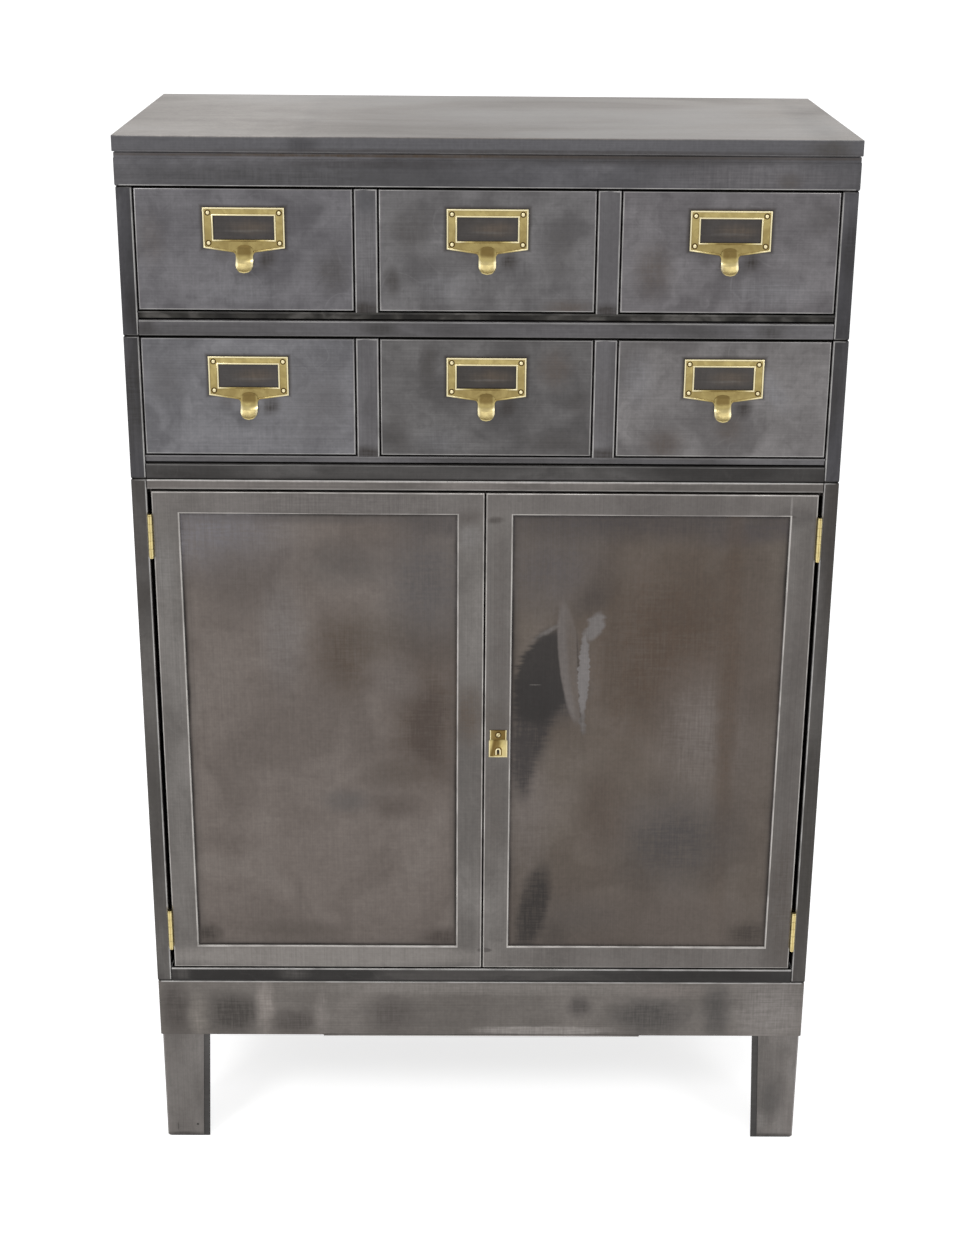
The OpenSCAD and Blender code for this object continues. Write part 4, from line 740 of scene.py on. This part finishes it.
# %% Material of the brass parts
def aged_brass(name, middle, film_and_shade, bright, seed, by_touch_and_shading=False):
    """When the last argument is true, a value from 0 to 1 at each vertex says where hands have rubbed the
    piece and where light and shade are painted on it.
    """
    material, shader, t = new_material(name)
    coordinate = t.add("TexCoord").outputs
    place = coordinate["Object"]
    spots = t.place_group(clouds, place=place, size=12 * MM, ragged=0.6, seed=seed)
    colour = t.mix(t.times(spots, 0.4), rgb(*middle), rgb(*film_and_shade))
    if by_touch_and_shading:
        polish_and_shading = t.add("Attribute", attribute_name="polish_and_shading").outputs["Fac"]
        wear_and_sheen = t.step(polish_and_shading, 0.45, 1.0)
        # Low values take the brown film, which on the pulls and the lock is also painted shade.
        colour = t.mix(t.step(polish_and_shading, 0.5, 0.0), colour, rgb(*film_and_shade))
    else:
        wear_and_sheen = t.place_group(bends, normal=coordinate["Normal"], place=place, patchy=0.3, seed=seed)
    colour = t.mix(t.times(wear_and_sheen, 0.7), colour, rgb(*bright))
    t.feed(shader.inputs["Base Color"], colour)
    shader.inputs["Metallic"].default_value = 0.95
    t.feed(shader.inputs["Roughness"], t.plus(0.26, t.times(spots, 0.14)))
    bump = t.add("Bump", {"Height": t.noise(place, 260.0, 2.0, seed), "Strength": 0.25, "Distance": 0.4 * MM})
    t.feed(shader.inputs["Normal"], bump.outputs[0])
    return material


brass = aged_brass("aged brass", (174, 154, 96), (104, 86, 44), (216, 202, 150), 60.0)
touched_and_lit_brass = aged_brass("brass rubbed by touch and painted light", (178, 162, 108), (98, 79, 42), (230, 220, 184), 60.5,
                           by_touch_and_shading=True)
# Dark brass for the rivet seats and the ring round the lock's screw: old polish, and painted shade round a
# raised head.
old_brass_and_shade = aged_brass("brass with old polish", (70, 53, 24), (42, 30, 14), (112, 92, 50), 61.0)

# %% [markdown]
# ## Side panels
# Each side is one sheet that wraps round the front as a hollow post. A closed box gives both at once: it is
# cut behind the post, and its inner wall is taken away from there on, so only the post keeps one.

# %% Six side panels
POST_D = 24 * MM


def side_sheet(node, material):
    low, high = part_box(node)
    outer, inner = "LR" if low.x < 0 else "RL"
    mesh = fold(closed_box(low, high), f"F{outer} F{inner} B{outer} {outer}U {outer}D FU FD")
    post_back = low.y + POST_D
    cut_at(mesh, "y", post_back)
    open_side(mesh, inner, only=lambda f: f.calc_center_median().y > post_back)
    finish(give_gauge(mesh), node + "_sheet", material, node)


for storey, steel in (("upper", post_steel), ("lower", post_steel), ("cupboard", low_post_steel)):
    for hand in ("left", "right"):
        side_sheet(f"{storey}_side_{hand}", steel)

# %% [markdown]
# ## Rails and dividers
# The rails are channels that are open behind and at both ends. Each divider is a channel too, with a web
# behind it that parts the drawers. Its lower end stands on the rail, so it needs no bend there.

# %% Rails between the sections
for node, steel in (("upper_rail", rail_steel), ("lower_rail", dark_rail_steel),
                    ("cupboard_bottom_rail", shaded_foot_rail_steel)):
    channel = open_side(fold(closed_box(*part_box(node)), "FU FD"), "BLR")
    finish(give_gauge(channel), node + "_sheet", steel, node)

# %% Dividers
DIVIDER_W = 26.5 * MM
for storey in ("upper", "lower"):
    low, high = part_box(f"{storey}_dividers")
    parts = []
    for x in (low.x, high.x - DIVIDER_W):
        divider = fold(closed_box((x, low.y, low.z), (x + DIVIDER_W, low.y + POST_D, high.z)), "FL FR FU")
        web_x = x + DIVIDER_W / 2 - GAUGE / 2
        web = closed_box((web_x, low.y + 2 * GAUGE, low.z), (web_x + GAUGE, high.y, high.z))
        parts += [give_gauge(open_side(divider, "BD")), web]
    finish(merged(*parts), f"{storey}_dividers_sheets", stile_steel, f"{storey}_dividers")

# %% [markdown]
# ## Drawer fronts
# A drawer front is a shallow pan: all four edges are bent back, and a narrow flange runs round behind. The
# flange is an inset of the back face whose middle is then cut out.


# %% Six drawer fronts
def pan(low, high, flange):
    mesh = fold(closed_box(low, high), "FL FR FU FD")
    back = [f for f in mesh.faces if f.normal.y > FLAT]
    bmesh.ops.inset_region(mesh, faces=back, thickness=flange, use_even_offset=True)
    bmesh.ops.delete(mesh, geom=back, context="FACES")
    return mesh


DRAWER_FLANGE = 11 * MM
for n in range(1, 7):
    node = f"drawer_{n}_front"
    finish(give_gauge(pan(*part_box(node), DRAWER_FLANGE)), node + "_sheet", drawer_steel[n], node)

# %% [markdown]
# ## Door frames
# A door is a deeper pan with a window pressed in its front, and the panel lies behind the window. An inset
# of the front face gives the window, its corners are moved until all four borders have their own widths, and
# pushing it back makes the short wall, whose front bend is rounded like the outer ones. Where the doors
# meet, both edges have a slot that the lock bolt slides through. It is cut first, while the pan is simple.

# %% Two door frames
STILE, DOOR_TOP, DOOR_BOTTOM, SUNK, DOOR_FLANGE = 33 * MM, 28 * MM, 31.4 * MM, 3 * MM, 27 * MM
BOLT_ROOM = Vector((0, 0.4, 0.4)) * MM
NEAR = 1e-6


def door_sheet(node):
    low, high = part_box(node)
    mesh = pan(low, high, DOOR_FLANGE)
    bolt_low, bolt_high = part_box("lock_bolt")
    cut_slot(mesh, "R" if node.startswith("left") else "L", bolt_low - BOLT_ROOM, bolt_high + BOLT_ROOM)
    front = [f for f in mesh.faces if f.normal.y < -FLAT]
    bmesh.ops.inset_region(mesh, faces=front, thickness=DOOR_TOP, use_even_offset=True)
    middle = (low + high) / 2
    for v in front[0].verts:
        v.co.x = low.x + STILE if v.co.x < middle.x else high.x - STILE
        v.co.z = low.z + DOOR_BOTTOM if v.co.z < middle.z else high.z - DOOR_TOP
    pushed = bmesh.ops.extrude_face_region(mesh, geom=front)["geom"]
    bmesh.ops.translate(mesh, vec=(0, SUNK, 0), verts=verts_in(pushed))
    lid = [f for f in pushed if isinstance(f, bmesh.types.BMFace)] + [f for f in front if f.is_valid]
    bmesh.ops.delete(mesh, geom=lid, context="FACES")
    rim = [e for e in mesh.edges if all(abs(v.co.y - low.y) < NEAR for v in e.verts)
           and abs(e.link_faces[0].normal.y) + abs(e.link_faces[-1].normal.y) < 1.5]
    round_edges(mesh, rim, SUNK * 0.95)
    finish(give_gauge(mesh), node + "_sheet", frame_steel, node)


door_sheet("left_door_frame")
door_sheet("right_door_frame")

# %% [markdown]
# ## Backs
# Each box of the stack is closed behind by a shallow tray. Its rims are bent inwards and reach the seams, so
# no light comes in between two boxes.

# %% Three backs
RIM_D, TO_SEAM = Vector((0, 12 * MM, 0)), Vector((0, 0, 1.1 * MM))
for storey in ("upper", "lower", "cupboard"):
    low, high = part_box(f"{storey}_back")
    mesh = fold(closed_box(low - RIM_D - TO_SEAM, high + TO_SEAM), "BL BR BU BD")
    finish(give_gauge(open_side(mesh, "F")), f"{storey}_back_tray", inner_steel, f"{storey}_back")

# %% [markdown]
# ## Cap
# The cap is a band under a thin slab. The band has a shallow ledge near its top, which shows as a light line
# with a darker strip above it, and a narrow neck carries the slab, so a black line runs under the slab. The
# pieces are closed boxes, because nobody sees into them.

# %% Slab and band
BAND_H, LEDGE_H, LEDGE_D, NECK = 37 * MM, 6 * MM, 0.5 * MM, 2.8 * MM
slab = fold(closed_box(*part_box("cap_slab")), "FL FR BL BR FU BU LU RU FD BD LD RD", 1 * MM, segments=3)
finish(slab, "cap_slab_sheet", cap_steel, "cap_slab")

low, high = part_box("cap_frieze")
ledge_z, band_top = low.z + BAND_H - LEDGE_H, low.z + BAND_H
band = fold(closed_box(low, (high.x, high.y, ledge_z)), "FL FR BL BR LD RD FD BD")
strip = fold(closed_box((low.x + LEDGE_D, low.y + LEDGE_D, ledge_z),
                        (high.x - LEDGE_D, high.y - LEDGE_D, band_top)), "FL FR BL BR")
neck = closed_box((low.x + NECK, low.y + NECK, band_top), (high.x - NECK, high.y - NECK, high.z))
finish(merged(band, strip, neck), "cap_frieze_sheet", band_steel, "cap_frieze")

# %% [markdown]
# ## Base
# The apron is heavier sheet, bent round the front corners and over the top, with a thin lip under its
# middle. The leg covers are angles that narrow from the apron to the foot, so their outline is drawn with a
# few vertices and the corner is bent.

# %% Apron
KNEE, APRON_GAUGE = 157 * MM, 2.2 * MM
LIP, LIP_D, LIP_BEND, OVERLAP = 206 * MM, 10 * MM, 1.2 * MM, 1 * MM
for node, front, back in (("apron_front", "F", "B"), ("apron_back", "B", "F")):
    low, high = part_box(node)
    board = fold(closed_box((low.x, low.y, KNEE), high), f"{front}L {front}R LU RU {front}U")
    parts = [give_gauge(open_side(board, back + "D"), APRON_GAUGE)]
    if front == "F":
        lip = closed_box((-LIP, low.y, low.z), (LIP, low.y + LIP_D, KNEE + OVERLAP))
        parts.append(fold(lip, "FD", LIP_BEND))
    finish(merged(*parts), node + "_board", base_steel, node)

# %% Leg covers
# Height and width of both wings, from the foot over the knee, where the legs go behind the apron, to the top.
LEG_ROWS = ((2 * MM, 47.8 * MM), (KNEE, 53.6 * MM), (187 * MM, 53.6 * MM))


def leg_cover(side, depth):
    """side is -1 on the left and 1 on the right, depth is -1 in front and 1 behind."""
    low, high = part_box("leg_covers")
    corner = Vector((low.x if side < 0 else high.x, low.y if depth < 0 else high.y, 0))
    run_x, run_y = Vector((-side, 0, 0)), Vector((0, -depth, 0))
    mesh = bmesh.new()
    rows = [[mesh.verts.new(corner + run * width + Vector((0, 0, z)))
             for run, width in ((run_y, w), (run_y, 0), (run_x, w))] for z, w in LEG_ROWS]
    for below, above in zip(rows, rows[1:]):
        for k in (0, 1):
            mesh.faces.new((below[k], below[k + 1], above[k + 1], above[k]))
    turn_faces(mesh, (side, depth, 0))
    round_edges(mesh, [e for e in mesh.edges if all((v.co - corner).xy.length < NEAR for v in e.verts)], BEND)
    return give_gauge(mesh)


finish(merged(*(leg_cover(side, depth) for side in (-1, 1) for depth in (-1, 1))), "leg_covers_sheets",
       leg_steel, "leg_covers")

# %% [markdown]
# ## Label pulls
# Each drawer has a brass label holder with a finger tab under it, pressed in one piece. The plate is a ring
# between two outlines, the outer one and the window, so bridging the two loops makes it. Two insets then
# leave a raised rim along both edges with a shallow channel between, where the paper label is slid in.

# %% The plate of a pull
PULL_W, PULL_H, WINDOW_W, WINDOW_TOP, WINDOW_H = 92.5, 45.7, 69.0, 9.3, 27.0
TAB_W, NECK_Z, NECK_R = 19.5, 50.9, 4.0
RIM_FRONT, CHANNEL = 2.4, 1.3


def closed_loop(mesh, points):
    verts = [mesh.verts.new((x * MM, -RIM_FRONT * MM, z * MM)) for x, z in points]
    return [mesh.edges.new((a, b)) for a, b in zip(verts, verts[1:] + verts[:1])]


def pull_plate():
    turns = [math.radians(a) for a in (0, 30, 60, 90)]
    fillet = [(TAB_W / 2 + NECK_R * (1 - math.sin(a)),
               -NECK_Z - NECK_R * (1 - math.cos(a)) + 0.5 * math.cos(a)) for a in turns]
    right_low = [(PULL_W / 2, -PULL_H)] + fillet
    under = [(WINDOW_W / 2, 0)] + [(x, 0) for x, z in fillet]
    low = -WINDOW_TOP - WINDOW_H
    outer = [(-PULL_W / 2, 0), (PULL_W / 2, 0)] + right_low + [(-x, z) for x, z in reversed(right_low)]
    inner = ([(-WINDOW_W / 2, -WINDOW_TOP), (WINDOW_W / 2, -WINDOW_TOP)] + [(x, low) for x, z in under]
             + [(-x, low) for x, z in reversed(under)])
    mesh = bmesh.new()
    bmesh.ops.bridge_loops(mesh, edges=closed_loop(mesh, outer) + closed_loop(mesh, inner))
    turn_faces(mesh, SIDES["F"])
    channel = mesh.faces[:]
    bmesh.ops.inset_region(mesh, faces=channel, thickness=1.5 * MM, use_even_offset=True, use_boundary=True)
    bmesh.ops.inset_region(mesh, faces=channel, thickness=0.7 * MM, depth=(CHANNEL - RIM_FRONT) * MM,
                           use_even_offset=True, use_boundary=True)
    bmesh.ops.translate(mesh, vec=(0, RIM_FRONT * MM, 0), verts=skirt(mesh))
    crests = [e for e in mesh.edges if all(abs(v.co.y + RIM_FRONT * MM) < NEAR for v in e.verts)
              and len(e.link_faces) == 2 and e.calc_face_angle(0) > 0.3]
    round_edges(mesh, crests, 0.55 * MM, segments=3)
    return mesh


# %% [markdown]
# The tab starts as a round step in the lower border, runs down a little and then scoops forward, so a
# fingertip fits behind it. A grid is bent to that path: its rows follow the length, its width narrows to a
# round tip, and the lower half is dished like a spoon, which is why it catches the light from above.

# %% The finger tab
TAB_Y, TAB_Z, TAB_STEP, TAB_HEAD = -1.7, -42.0, 1.1, 7
TAB_DOWN, TAB_R, TAB_LEAN, TAB_OUT = 12.4, 12.0, math.radians(45), 11.2
TAB_LENGTH = TAB_DOWN + TAB_R * TAB_LEAN + TAB_OUT
TAB_GAUGE, DISH_D, DISH_FROM, DISH_FULL = 1.3, 1.5, 13, 21


def share(value, start, end):
    """0 before start, 1 after end, and in between the share of the way."""
    return min(1.0, max(0.0, (value - start) / (end - start)))


def round_end(distance, radius):
    """How wide a round end is, 0 to 1, at this distance before its full width."""
    return math.sqrt(max(0.0, 1 - (max(0.0, distance) / radius) ** 2))


def along_tab(s):
    """Depth, height and slope, in mm and radians, at the distance s from the tab's top."""
    if s < TAB_DOWN:
        return TAB_Y - TAB_STEP * min(1, s / 3.5), TAB_Z - s, 0.0
    turned = min((s - TAB_DOWN) / TAB_R, TAB_LEAN)
    rest = max(0.0, s - TAB_DOWN - TAB_R * TAB_LEAN)
    y = TAB_Y - TAB_STEP - TAB_R * (1 - math.cos(turned)) - rest * math.sin(TAB_LEAN)
    z = TAB_Z - TAB_DOWN - TAB_R * math.sin(turned) - rest * math.cos(TAB_LEAN)
    return y, z, turned


def finger_tab():
    half = TAB_W / 2
    mesh = bmesh.new()
    bmesh.ops.create_grid(mesh, x_segments=12, y_segments=34, size=0.5)
    for v in mesh.verts:
        u, s = v.co.x * 2, (0.5 - v.co.y) * TAB_LENGTH
        y, z, slope = along_tab(s)
        past_tip_start = s - TAB_LENGTH + half
        wide = round_end(TAB_HEAD - s, TAB_HEAD) * round_end(past_tip_start, half)
        across, to_tip = u * wide, max(0.0, past_tip_start) / half
        dish = DISH_D * max(0.0, 1 - across * across - to_tip * to_tip) * share(s, DISH_FROM, DISH_FULL)
        v.co = Vector((across * half, y + dish * math.cos(slope), z - dish * math.sin(slope))) * MM
    bmesh.ops.remove_doubles(mesh, verts=mesh.verts, dist=0.01 * MM)
    turn_faces(mesh, SIDES["F"])
    return give_gauge(mesh, TAB_GAUGE * MM)


# %% [markdown]
# Four domed rivets hold the plate, each in a small sunk seat that is dark, partly old polish and partly
# painted shade round the head. A seat is a short disc and the dome a squashed ball, half of which is sunk in
# it. A mesh can carry several materials, and each face says by its number which one it shows, so the seat
# gets the second material of the piece.

# %% Rivets
RIVET_X, RIVET_ZS, RIVET_Y = PULL_W / 2 - 6, (-6, 5.5 - PULL_H), -1.35


def dome(radius, squash, place, around, up):
    mesh = bmesh.new()
    bmesh.ops.create_uvsphere(mesh, u_segments=around, v_segments=up, radius=radius * MM)
    bmesh.ops.scale(mesh, vec=(1, squash, 1), verts=mesh.verts)
    bmesh.ops.translate(mesh, vec=Vector(place) * MM, verts=mesh.verts)
    return mesh


def in_material(mesh, number):
    for face in mesh.faces:
        face.material_index = number
    return mesh


def rivet(x, z):
    seat = bmesh.new()
    bmesh.ops.create_cone(seat, cap_ends=True, segments=24, radius1=3.6 * MM, radius2=3.2 * MM,
                          depth=0.25 * MM)
    bmesh.ops.rotate(seat, matrix=Matrix.Rotation(math.radians(90), 3, "X"), verts=seat.verts)
    bmesh.ops.translate(seat, vec=Vector((x, RIVET_Y, z)) * MM, verts=seat.verts)
    return [dome(2.3, 0.62, (x, RIVET_Y, z), 18, 10), in_material(seat, 1)]


# %% [markdown]
# Fingers polish the rims, the rivet heads and the tip of the tab, and the channel keeps its film. The same
# value paints light and shade: the upright rims and the lower half of the tab get a painted highlight, and
# the level rims and the lower border a painted shade. That is easier to say by place than to paint, so a
# function gives the value of a point and every vertex stores it.


# %% Six pulls
def give_polish_and_shading(mesh, amount):
    """Writes a value for every vertex, rubbing together with painted light and shade, which the brass reads.
    amount takes x, y and z in mm.
    """
    layer = mesh.verts.layers.float.new("polish_and_shading")
    for v in mesh.verts:
        v[layer] = amount(*(v.co / MM))
    return mesh


def pull_polish_and_shading(x, y, z):
    # The tab: lighter towards its tip, partly rubbed and partly a painted highlight, with bright sides.
    if z < -PULL_H + 6 and abs(x) < TAB_W / 2 + 0.5:
        edge = max(0.0, abs(x) / (TAB_W / 2) - 0.7) / 0.3
        down = share(-z, 52, 60)
        return min(1.0, 0.13 + 0.46 * down + 0.5 * edge * (0.5 + 0.5 * down))
    if y > -1.2:
        return 0.0
    if abs(abs(x) - RIVET_X) < 2.4 and min(abs(z - rivet_z) for rivet_z in RIVET_ZS) < 2.4:
        return 0.9
    # Upright rims get a painted highlight, level rims a painted shade.
    upright = abs(x) > PULL_W / 2 - 3.5 or WINDOW_W / 2 - 1 < abs(x) < WINDOW_W / 2 + 3.5
    if y < -RIM_FRONT + 0.35:
        return 1.0 if upright else 0.2
    # The lower border is a painted shade darker than the rest of the channel.
    return 0.28 if z < -WINDOW_TOP - WINDOW_H - 1 else 0.42


def dressed_brass(parts, polish_and_shading, place, name, node, *more):
    """A finished brass piece at its place. more are the materials for the faces with the numbers 1, 2."""
    whole = give_polish_and_shading(merged(*parts), polish_and_shading)
    bmesh.ops.translate(whole, vec=place, verts=whole.verts)
    piece = finish(whole, name, touched_and_lit_brass, node, sharp=50)
    for material in more:
        piece.data.materials.append(material)


for n in range(1, 7):
    node = f"drawer_{n}_pull"
    low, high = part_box(node)
    rivets = [part for side in (-1, 1) for z in RIVET_ZS for part in rivet(side * RIVET_X, z)]
    dressed_brass([pull_plate(), finger_tab()] + rivets, pull_polish_and_shading,
                  ((low.x + high.x) / 2, front_y, high.z), node + "_cast", node, old_brass_and_shade)

# %% [markdown]
# ## Lock plate
# The lock's plate is a small pressing: the lower half bulges a little and carries an arched collar round the
# keyhole, the upper half is a shallow dish with a screw. A grid takes that relief well. Each row of vertices
# gets its own width, which gives the notch between the halves, and a height function presses the rest.

# %% The plate of the lock
low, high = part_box("lock_plate")
LOCK_W, LOCK_H, DISH_H = (high.x - low.x) / MM, (high.z - low.z) / MM, 12.6
lock_x, lock_z = (low.x + high.x) / 2, (low.z + high.z) / 2
NOTCH_Z, SCREW_Z, COLLAR_Z = LOCK_H / 2 - DISH_H, LOCK_H / 2 - DISH_H / 2, -8.6


def lock_plate_mesh():
    mesh = bmesh.new()
    bmesh.ops.create_grid(mesh, x_segments=36, y_segments=54, size=0.5)
    for v in mesh.verts:
        u, z = v.co.x * 2, v.co.y * LOCK_H
        raised = 1 / (1 + math.exp((z - NOTCH_Z) * 2.2))
        half = LOCK_W / 2 - 1.2 * (1 - raised) - 0.5 * math.exp(-((z - NOTCH_Z) / 1.2) ** 2)
        rim = min(1 - abs(u), (LOCK_H / 2 - abs(z)) / (LOCK_W / 2)) * LOCK_W / 2
        edge = 1 - min(1.0, rim / 1.2)
        bulge = 1.5 + 0.5 * (1 - u * u)
        dish = 1.6 - 0.8 * share(rim, 1.0, 1.8)
        height = (raised * bulge + (1 - raised) * dish) * math.sqrt(1 - edge ** 2 * 0.75)
        v.co = Vector((u * half, -height, z)) * MM
    turn_faces(mesh, SIDES["F"])
    for v in skirt(mesh):
        v.co.y = 0
    return mesh


# %% [markdown]
# The collar is a horseshoe round the keyhole. Two arched outlines make its face, which is pushed forward and
# rounded. The keyhole itself is so narrow that it only shows as a dark slot, so it is one dark face, a
# painted shadow of the hole. The screw is a small dome whose slot is such a dark face too, in a dark ring
# that is painted shade round the head.


# %% Collar, keyhole and screw
def round_points(radius, turns):
    return [(radius * math.cos(a), radius * math.sin(a)) for a in turns]


def arch(radius, leg, count=16):
    half_circle = round_points(radius, [math.pi * k / count for k in range(count + 1)])
    return [(radius, -leg)] + half_circle + [(-radius, -leg)]


def pushed_outline(points, back, front, at_z, round_by=0):
    """A face with this outline, pushed from the depth back to the depth front. All in mm."""
    mesh = bmesh.new()
    face = mesh.faces.new([mesh.verts.new((x * MM, back * MM, (z + at_z) * MM)) for x, z in points])
    pushed = bmesh.ops.extrude_face_region(mesh, geom=[face])["geom"]
    bmesh.ops.translate(mesh, vec=(0, (front - back) * MM, 0), verts=verts_in(pushed))
    if round_by:
        crest = [e for e in mesh.edges if all(abs(v.co.y - front * MM) < NEAR for v in e.verts)]
        round_edges(mesh, crest, round_by * MM, segments=3)
    bmesh.ops.recalc_face_normals(mesh, faces=mesh.faces)
    return mesh


circle = round_points(3.9, [math.tau * k / 28 for k in range(28)])
slot_outline = [(-2.2, -0.3), (2.2, -0.3), (2.2, 0.3), (-2.2, 0.3)]
collar = pushed_outline(arch(3.4, 5.6) + arch(1.7, 5.6)[::-1], -1.4, -3.0, COLLAR_Z, 0.5)
hole = in_material(pushed_outline(arch(1.2, 4.2, 10), -1.4, -2.15, COLLAR_Z), 2)
screw_shade_ring = in_material(pushed_outline(circle, -0.4, -0.95, SCREW_Z), 1)
head = dome(2.8, 0.55, (0, -0.9, SCREW_Z), 20, 12)
slot_cut = in_material(pushed_outline(slot_outline, -1.6, -2.45, 0), 2)
bmesh.ops.rotate(slot_cut, matrix=Matrix.Rotation(math.radians(-50), 3, "Y"), verts=slot_cut.verts)
bmesh.ops.translate(slot_cut, vec=(0, 0, SCREW_Z * MM), verts=slot_cut.verts)

# %% [markdown]
# Keys and fingers polish the collar, the rims and the sides of the lower half. The dish and the ground round
# the collar are painted shade, a slanting band beside the collar is a painted dark reflection on the bulge,
# and the right half of the lower part is painted a little lighter than the left.


# %% The finished lock plate
def lock_polish_and_shading(x, y, z):
    if math.hypot(x, z - SCREW_Z) < 3.2 and y < -1.0:
        return 0.75
    # The upper dish is low, a painted shade, and its side rims are bright, partly rubbed and partly a painted
    # highlight.
    if z > NOTCH_Z:
        return 0.9 if abs(x) > LOCK_W / 2 - 2.6 else 0.04 + 0.3 * max(0.0, -x / LOCK_W)
    if y < -2.3:
        return 1.0
    # The ground round the collar is a painted shade.
    to_collar = math.hypot(x, max(0.0, z - COLLAR_Z)) - 3.4
    if z > COLLAR_Z - 6.5 and to_collar < 1.7:
        return 0.0
    # A painted dark reflection: a slanting band across the bulge, and a darker ground above the collar.
    band = math.exp(-((x + 4.6 - 0.2 * z) / 3.2) ** 2)
    above = math.exp(-(x / 4.4) ** 2) if z > COLLAR_Z + 4 else 0.0
    rim = 1.0 if abs(x) > LOCK_W / 2 - 1.6 or z < 1.6 - LOCK_H / 2 else 0.0
    # The right half is painted a little lighter than the left.
    return max(0.8 * rim, (0.6 if x > 0 else 0.48) * (1 - band) * (1 - 0.75 * above))


keyhole_dark, shader, t = new_material("keyhole shadow")
shader.inputs["Base Color"].default_value = rgb(28, 22, 12)
shader.inputs["Roughness"].default_value = 0.8
dressed_brass([lock_plate_mesh(), collar, hole, screw_shade_ring, head, slot_cut], lock_polish_and_shading, (lock_x, front_y, lock_z),
              "lock_plate_pressing", "lock_plate", old_brass_and_shade, keyhole_dark)

# %% [markdown]
# ## Parts that stay as they are
# The trays, runners, floors and small hardware have the right shape already. They only need a finish, which
# goes into their material slots.


# %% Finishes for the other nodes
def finish_for(node):
    slot = slots[node]
    if slot == "brass":
        return brass
    if node.endswith("_panel"):
        return left_panel_steel if node.startswith("left") else right_panel_steel
    if slot == "inner_steel":
        return inner_steel
    return {"upper_floor": ledge_steel, "cupboard_top_rail": head_steel,
            "apron_sides": base_steel}.get(node, rail_steel)


left_alone = [name for name, thing in nodes.items() if not thing.hide_render]
for name in left_alone:
    thing = nodes[name]
    if not thing.material_slots:
        thing.data.materials.append(None)
    for place in thing.material_slots:
        place.material = finish_for(name)
print("kept from the CAD model:", len(left_alone))

# %% [markdown]
# ## Floor, light and camera
# The floor is one pale sheet, a hair below the feet. The world is an even white for the camera and for
# reflections, so the metal shows a studio's white walls, and a softer grey for scattered light. The Light
# Path node tells those rays apart. Three softboxes, overhead, left and right, give the bends a direction.


# %% Floor
def seen_directly(t):
    """1 for rays of the camera, of mirrors and of glass, and 0 for scattered light."""
    rays = t.add("LightPath").outputs
    return t.math("MAXIMUM", t.math("MAXIMUM", rays["Is Camera Ray"], rays["Is Glossy Ray"]),
                  rays["Is Transmission Ray"])


WHITE = (1, 1, 1, 1)
floor_mesh = bmesh.new()
bmesh.ops.create_grid(floor_mesh, x_segments=1, y_segments=1, size=30.0)
floor_data = bpy.data.meshes.new("floor")
floor_mesh.to_mesh(floor_data)
floor_mesh.free()
floor = linked("floor", floor_data)
floor.location.z = -0.5 * MM
floor_paint, paint, t = new_material("pale floor")
paint.inputs["Base Color"].default_value = (0.92, 0.92, 0.92, 1)
paint.inputs["Roughness"].default_value = 0.95
paint.inputs["Specular IOR Level"].default_value = 0.0
paint.inputs["Emission Color"].default_value = WHITE
t.feed(paint.inputs["Emission Strength"], t.times(seen_directly(t), 0.68))
floor_data.materials.append(floor_paint)

# %% World and lamps
world = bpy.data.worlds.new("studio")
bpy.context.scene.world = world
world.use_nodes = True
t = Tree(world.node_tree)
backdrop = world.node_tree.nodes["Background"]
backdrop.inputs["Color"].default_value = WHITE
t.feed(backdrop.inputs["Strength"], t.plus(0.55, t.times(seen_directly(t), 0.45)))


def soft_lamp(name, place, aim, size, power):
    data = bpy.data.lights.new(name, "AREA")
    data.shape = "RECTANGLE"
    data.size, data.size_y = size
    data.energy = power
    lamp = linked(name, data)
    lamp.location = place
    lamp.rotation_euler = (Vector(aim) - Vector(place)).to_track_quat("-Z", "Y").to_euler()
    print("lamp:", name, power, "W")


soft_lamp("overhead softbox", (0.0, -0.4, 3.3), (0, 0, 0.8), (2.6, 2.2), 24)
soft_lamp("left softbox", (-1.9, -2.8, 2.9), (0, 0, 0.8), (0.9, 0.9), 34)
soft_lamp("right softbox", (2.1, -2.6, 2.6), (0, 0, 0.7), (0.9, 0.9), 20)

# %% [markdown]
# The camera stands a little above the cap and looks down by its pitch. A small yaw turns it to the side, and
# a roll tilts the picture. The three directions ahead, right and up are worked out and become its matrix.

# %% Camera
PITCH, YAW, ROLL = math.radians(20.291), math.radians(0.557), math.radians(0.491)
CAMERA_PLACE, FOCAL_LENGTH, SENSOR = (-0.01696, -2.56692, 1.60782), 60.27, 36
ahead = Vector((math.sin(YAW) * math.cos(PITCH), math.cos(YAW) * math.cos(PITCH), -math.sin(PITCH)))
flat_right = Vector((math.cos(YAW), -math.sin(YAW), 0))
flat_up = flat_right.cross(ahead)
right = math.cos(ROLL) * flat_right + math.sin(ROLL) * flat_up
up = -math.sin(ROLL) * flat_right + math.cos(ROLL) * flat_up
lens = bpy.data.cameras.new("camera")
lens.sensor_width = SENSOR
lens.lens = FOCAL_LENGTH
lens.clip_start, lens.clip_end = 0.05, 100
camera = linked("camera", lens)
camera.matrix_world = Matrix((right, up, -ahead)).transposed().to_4x4()
camera.location = CAMERA_PLACE
bpy.context.scene.camera = camera
bpy.context.scene.view_settings.view_transform = "Standard"
print("camera at", [round(c, 3) for c in camera.location])
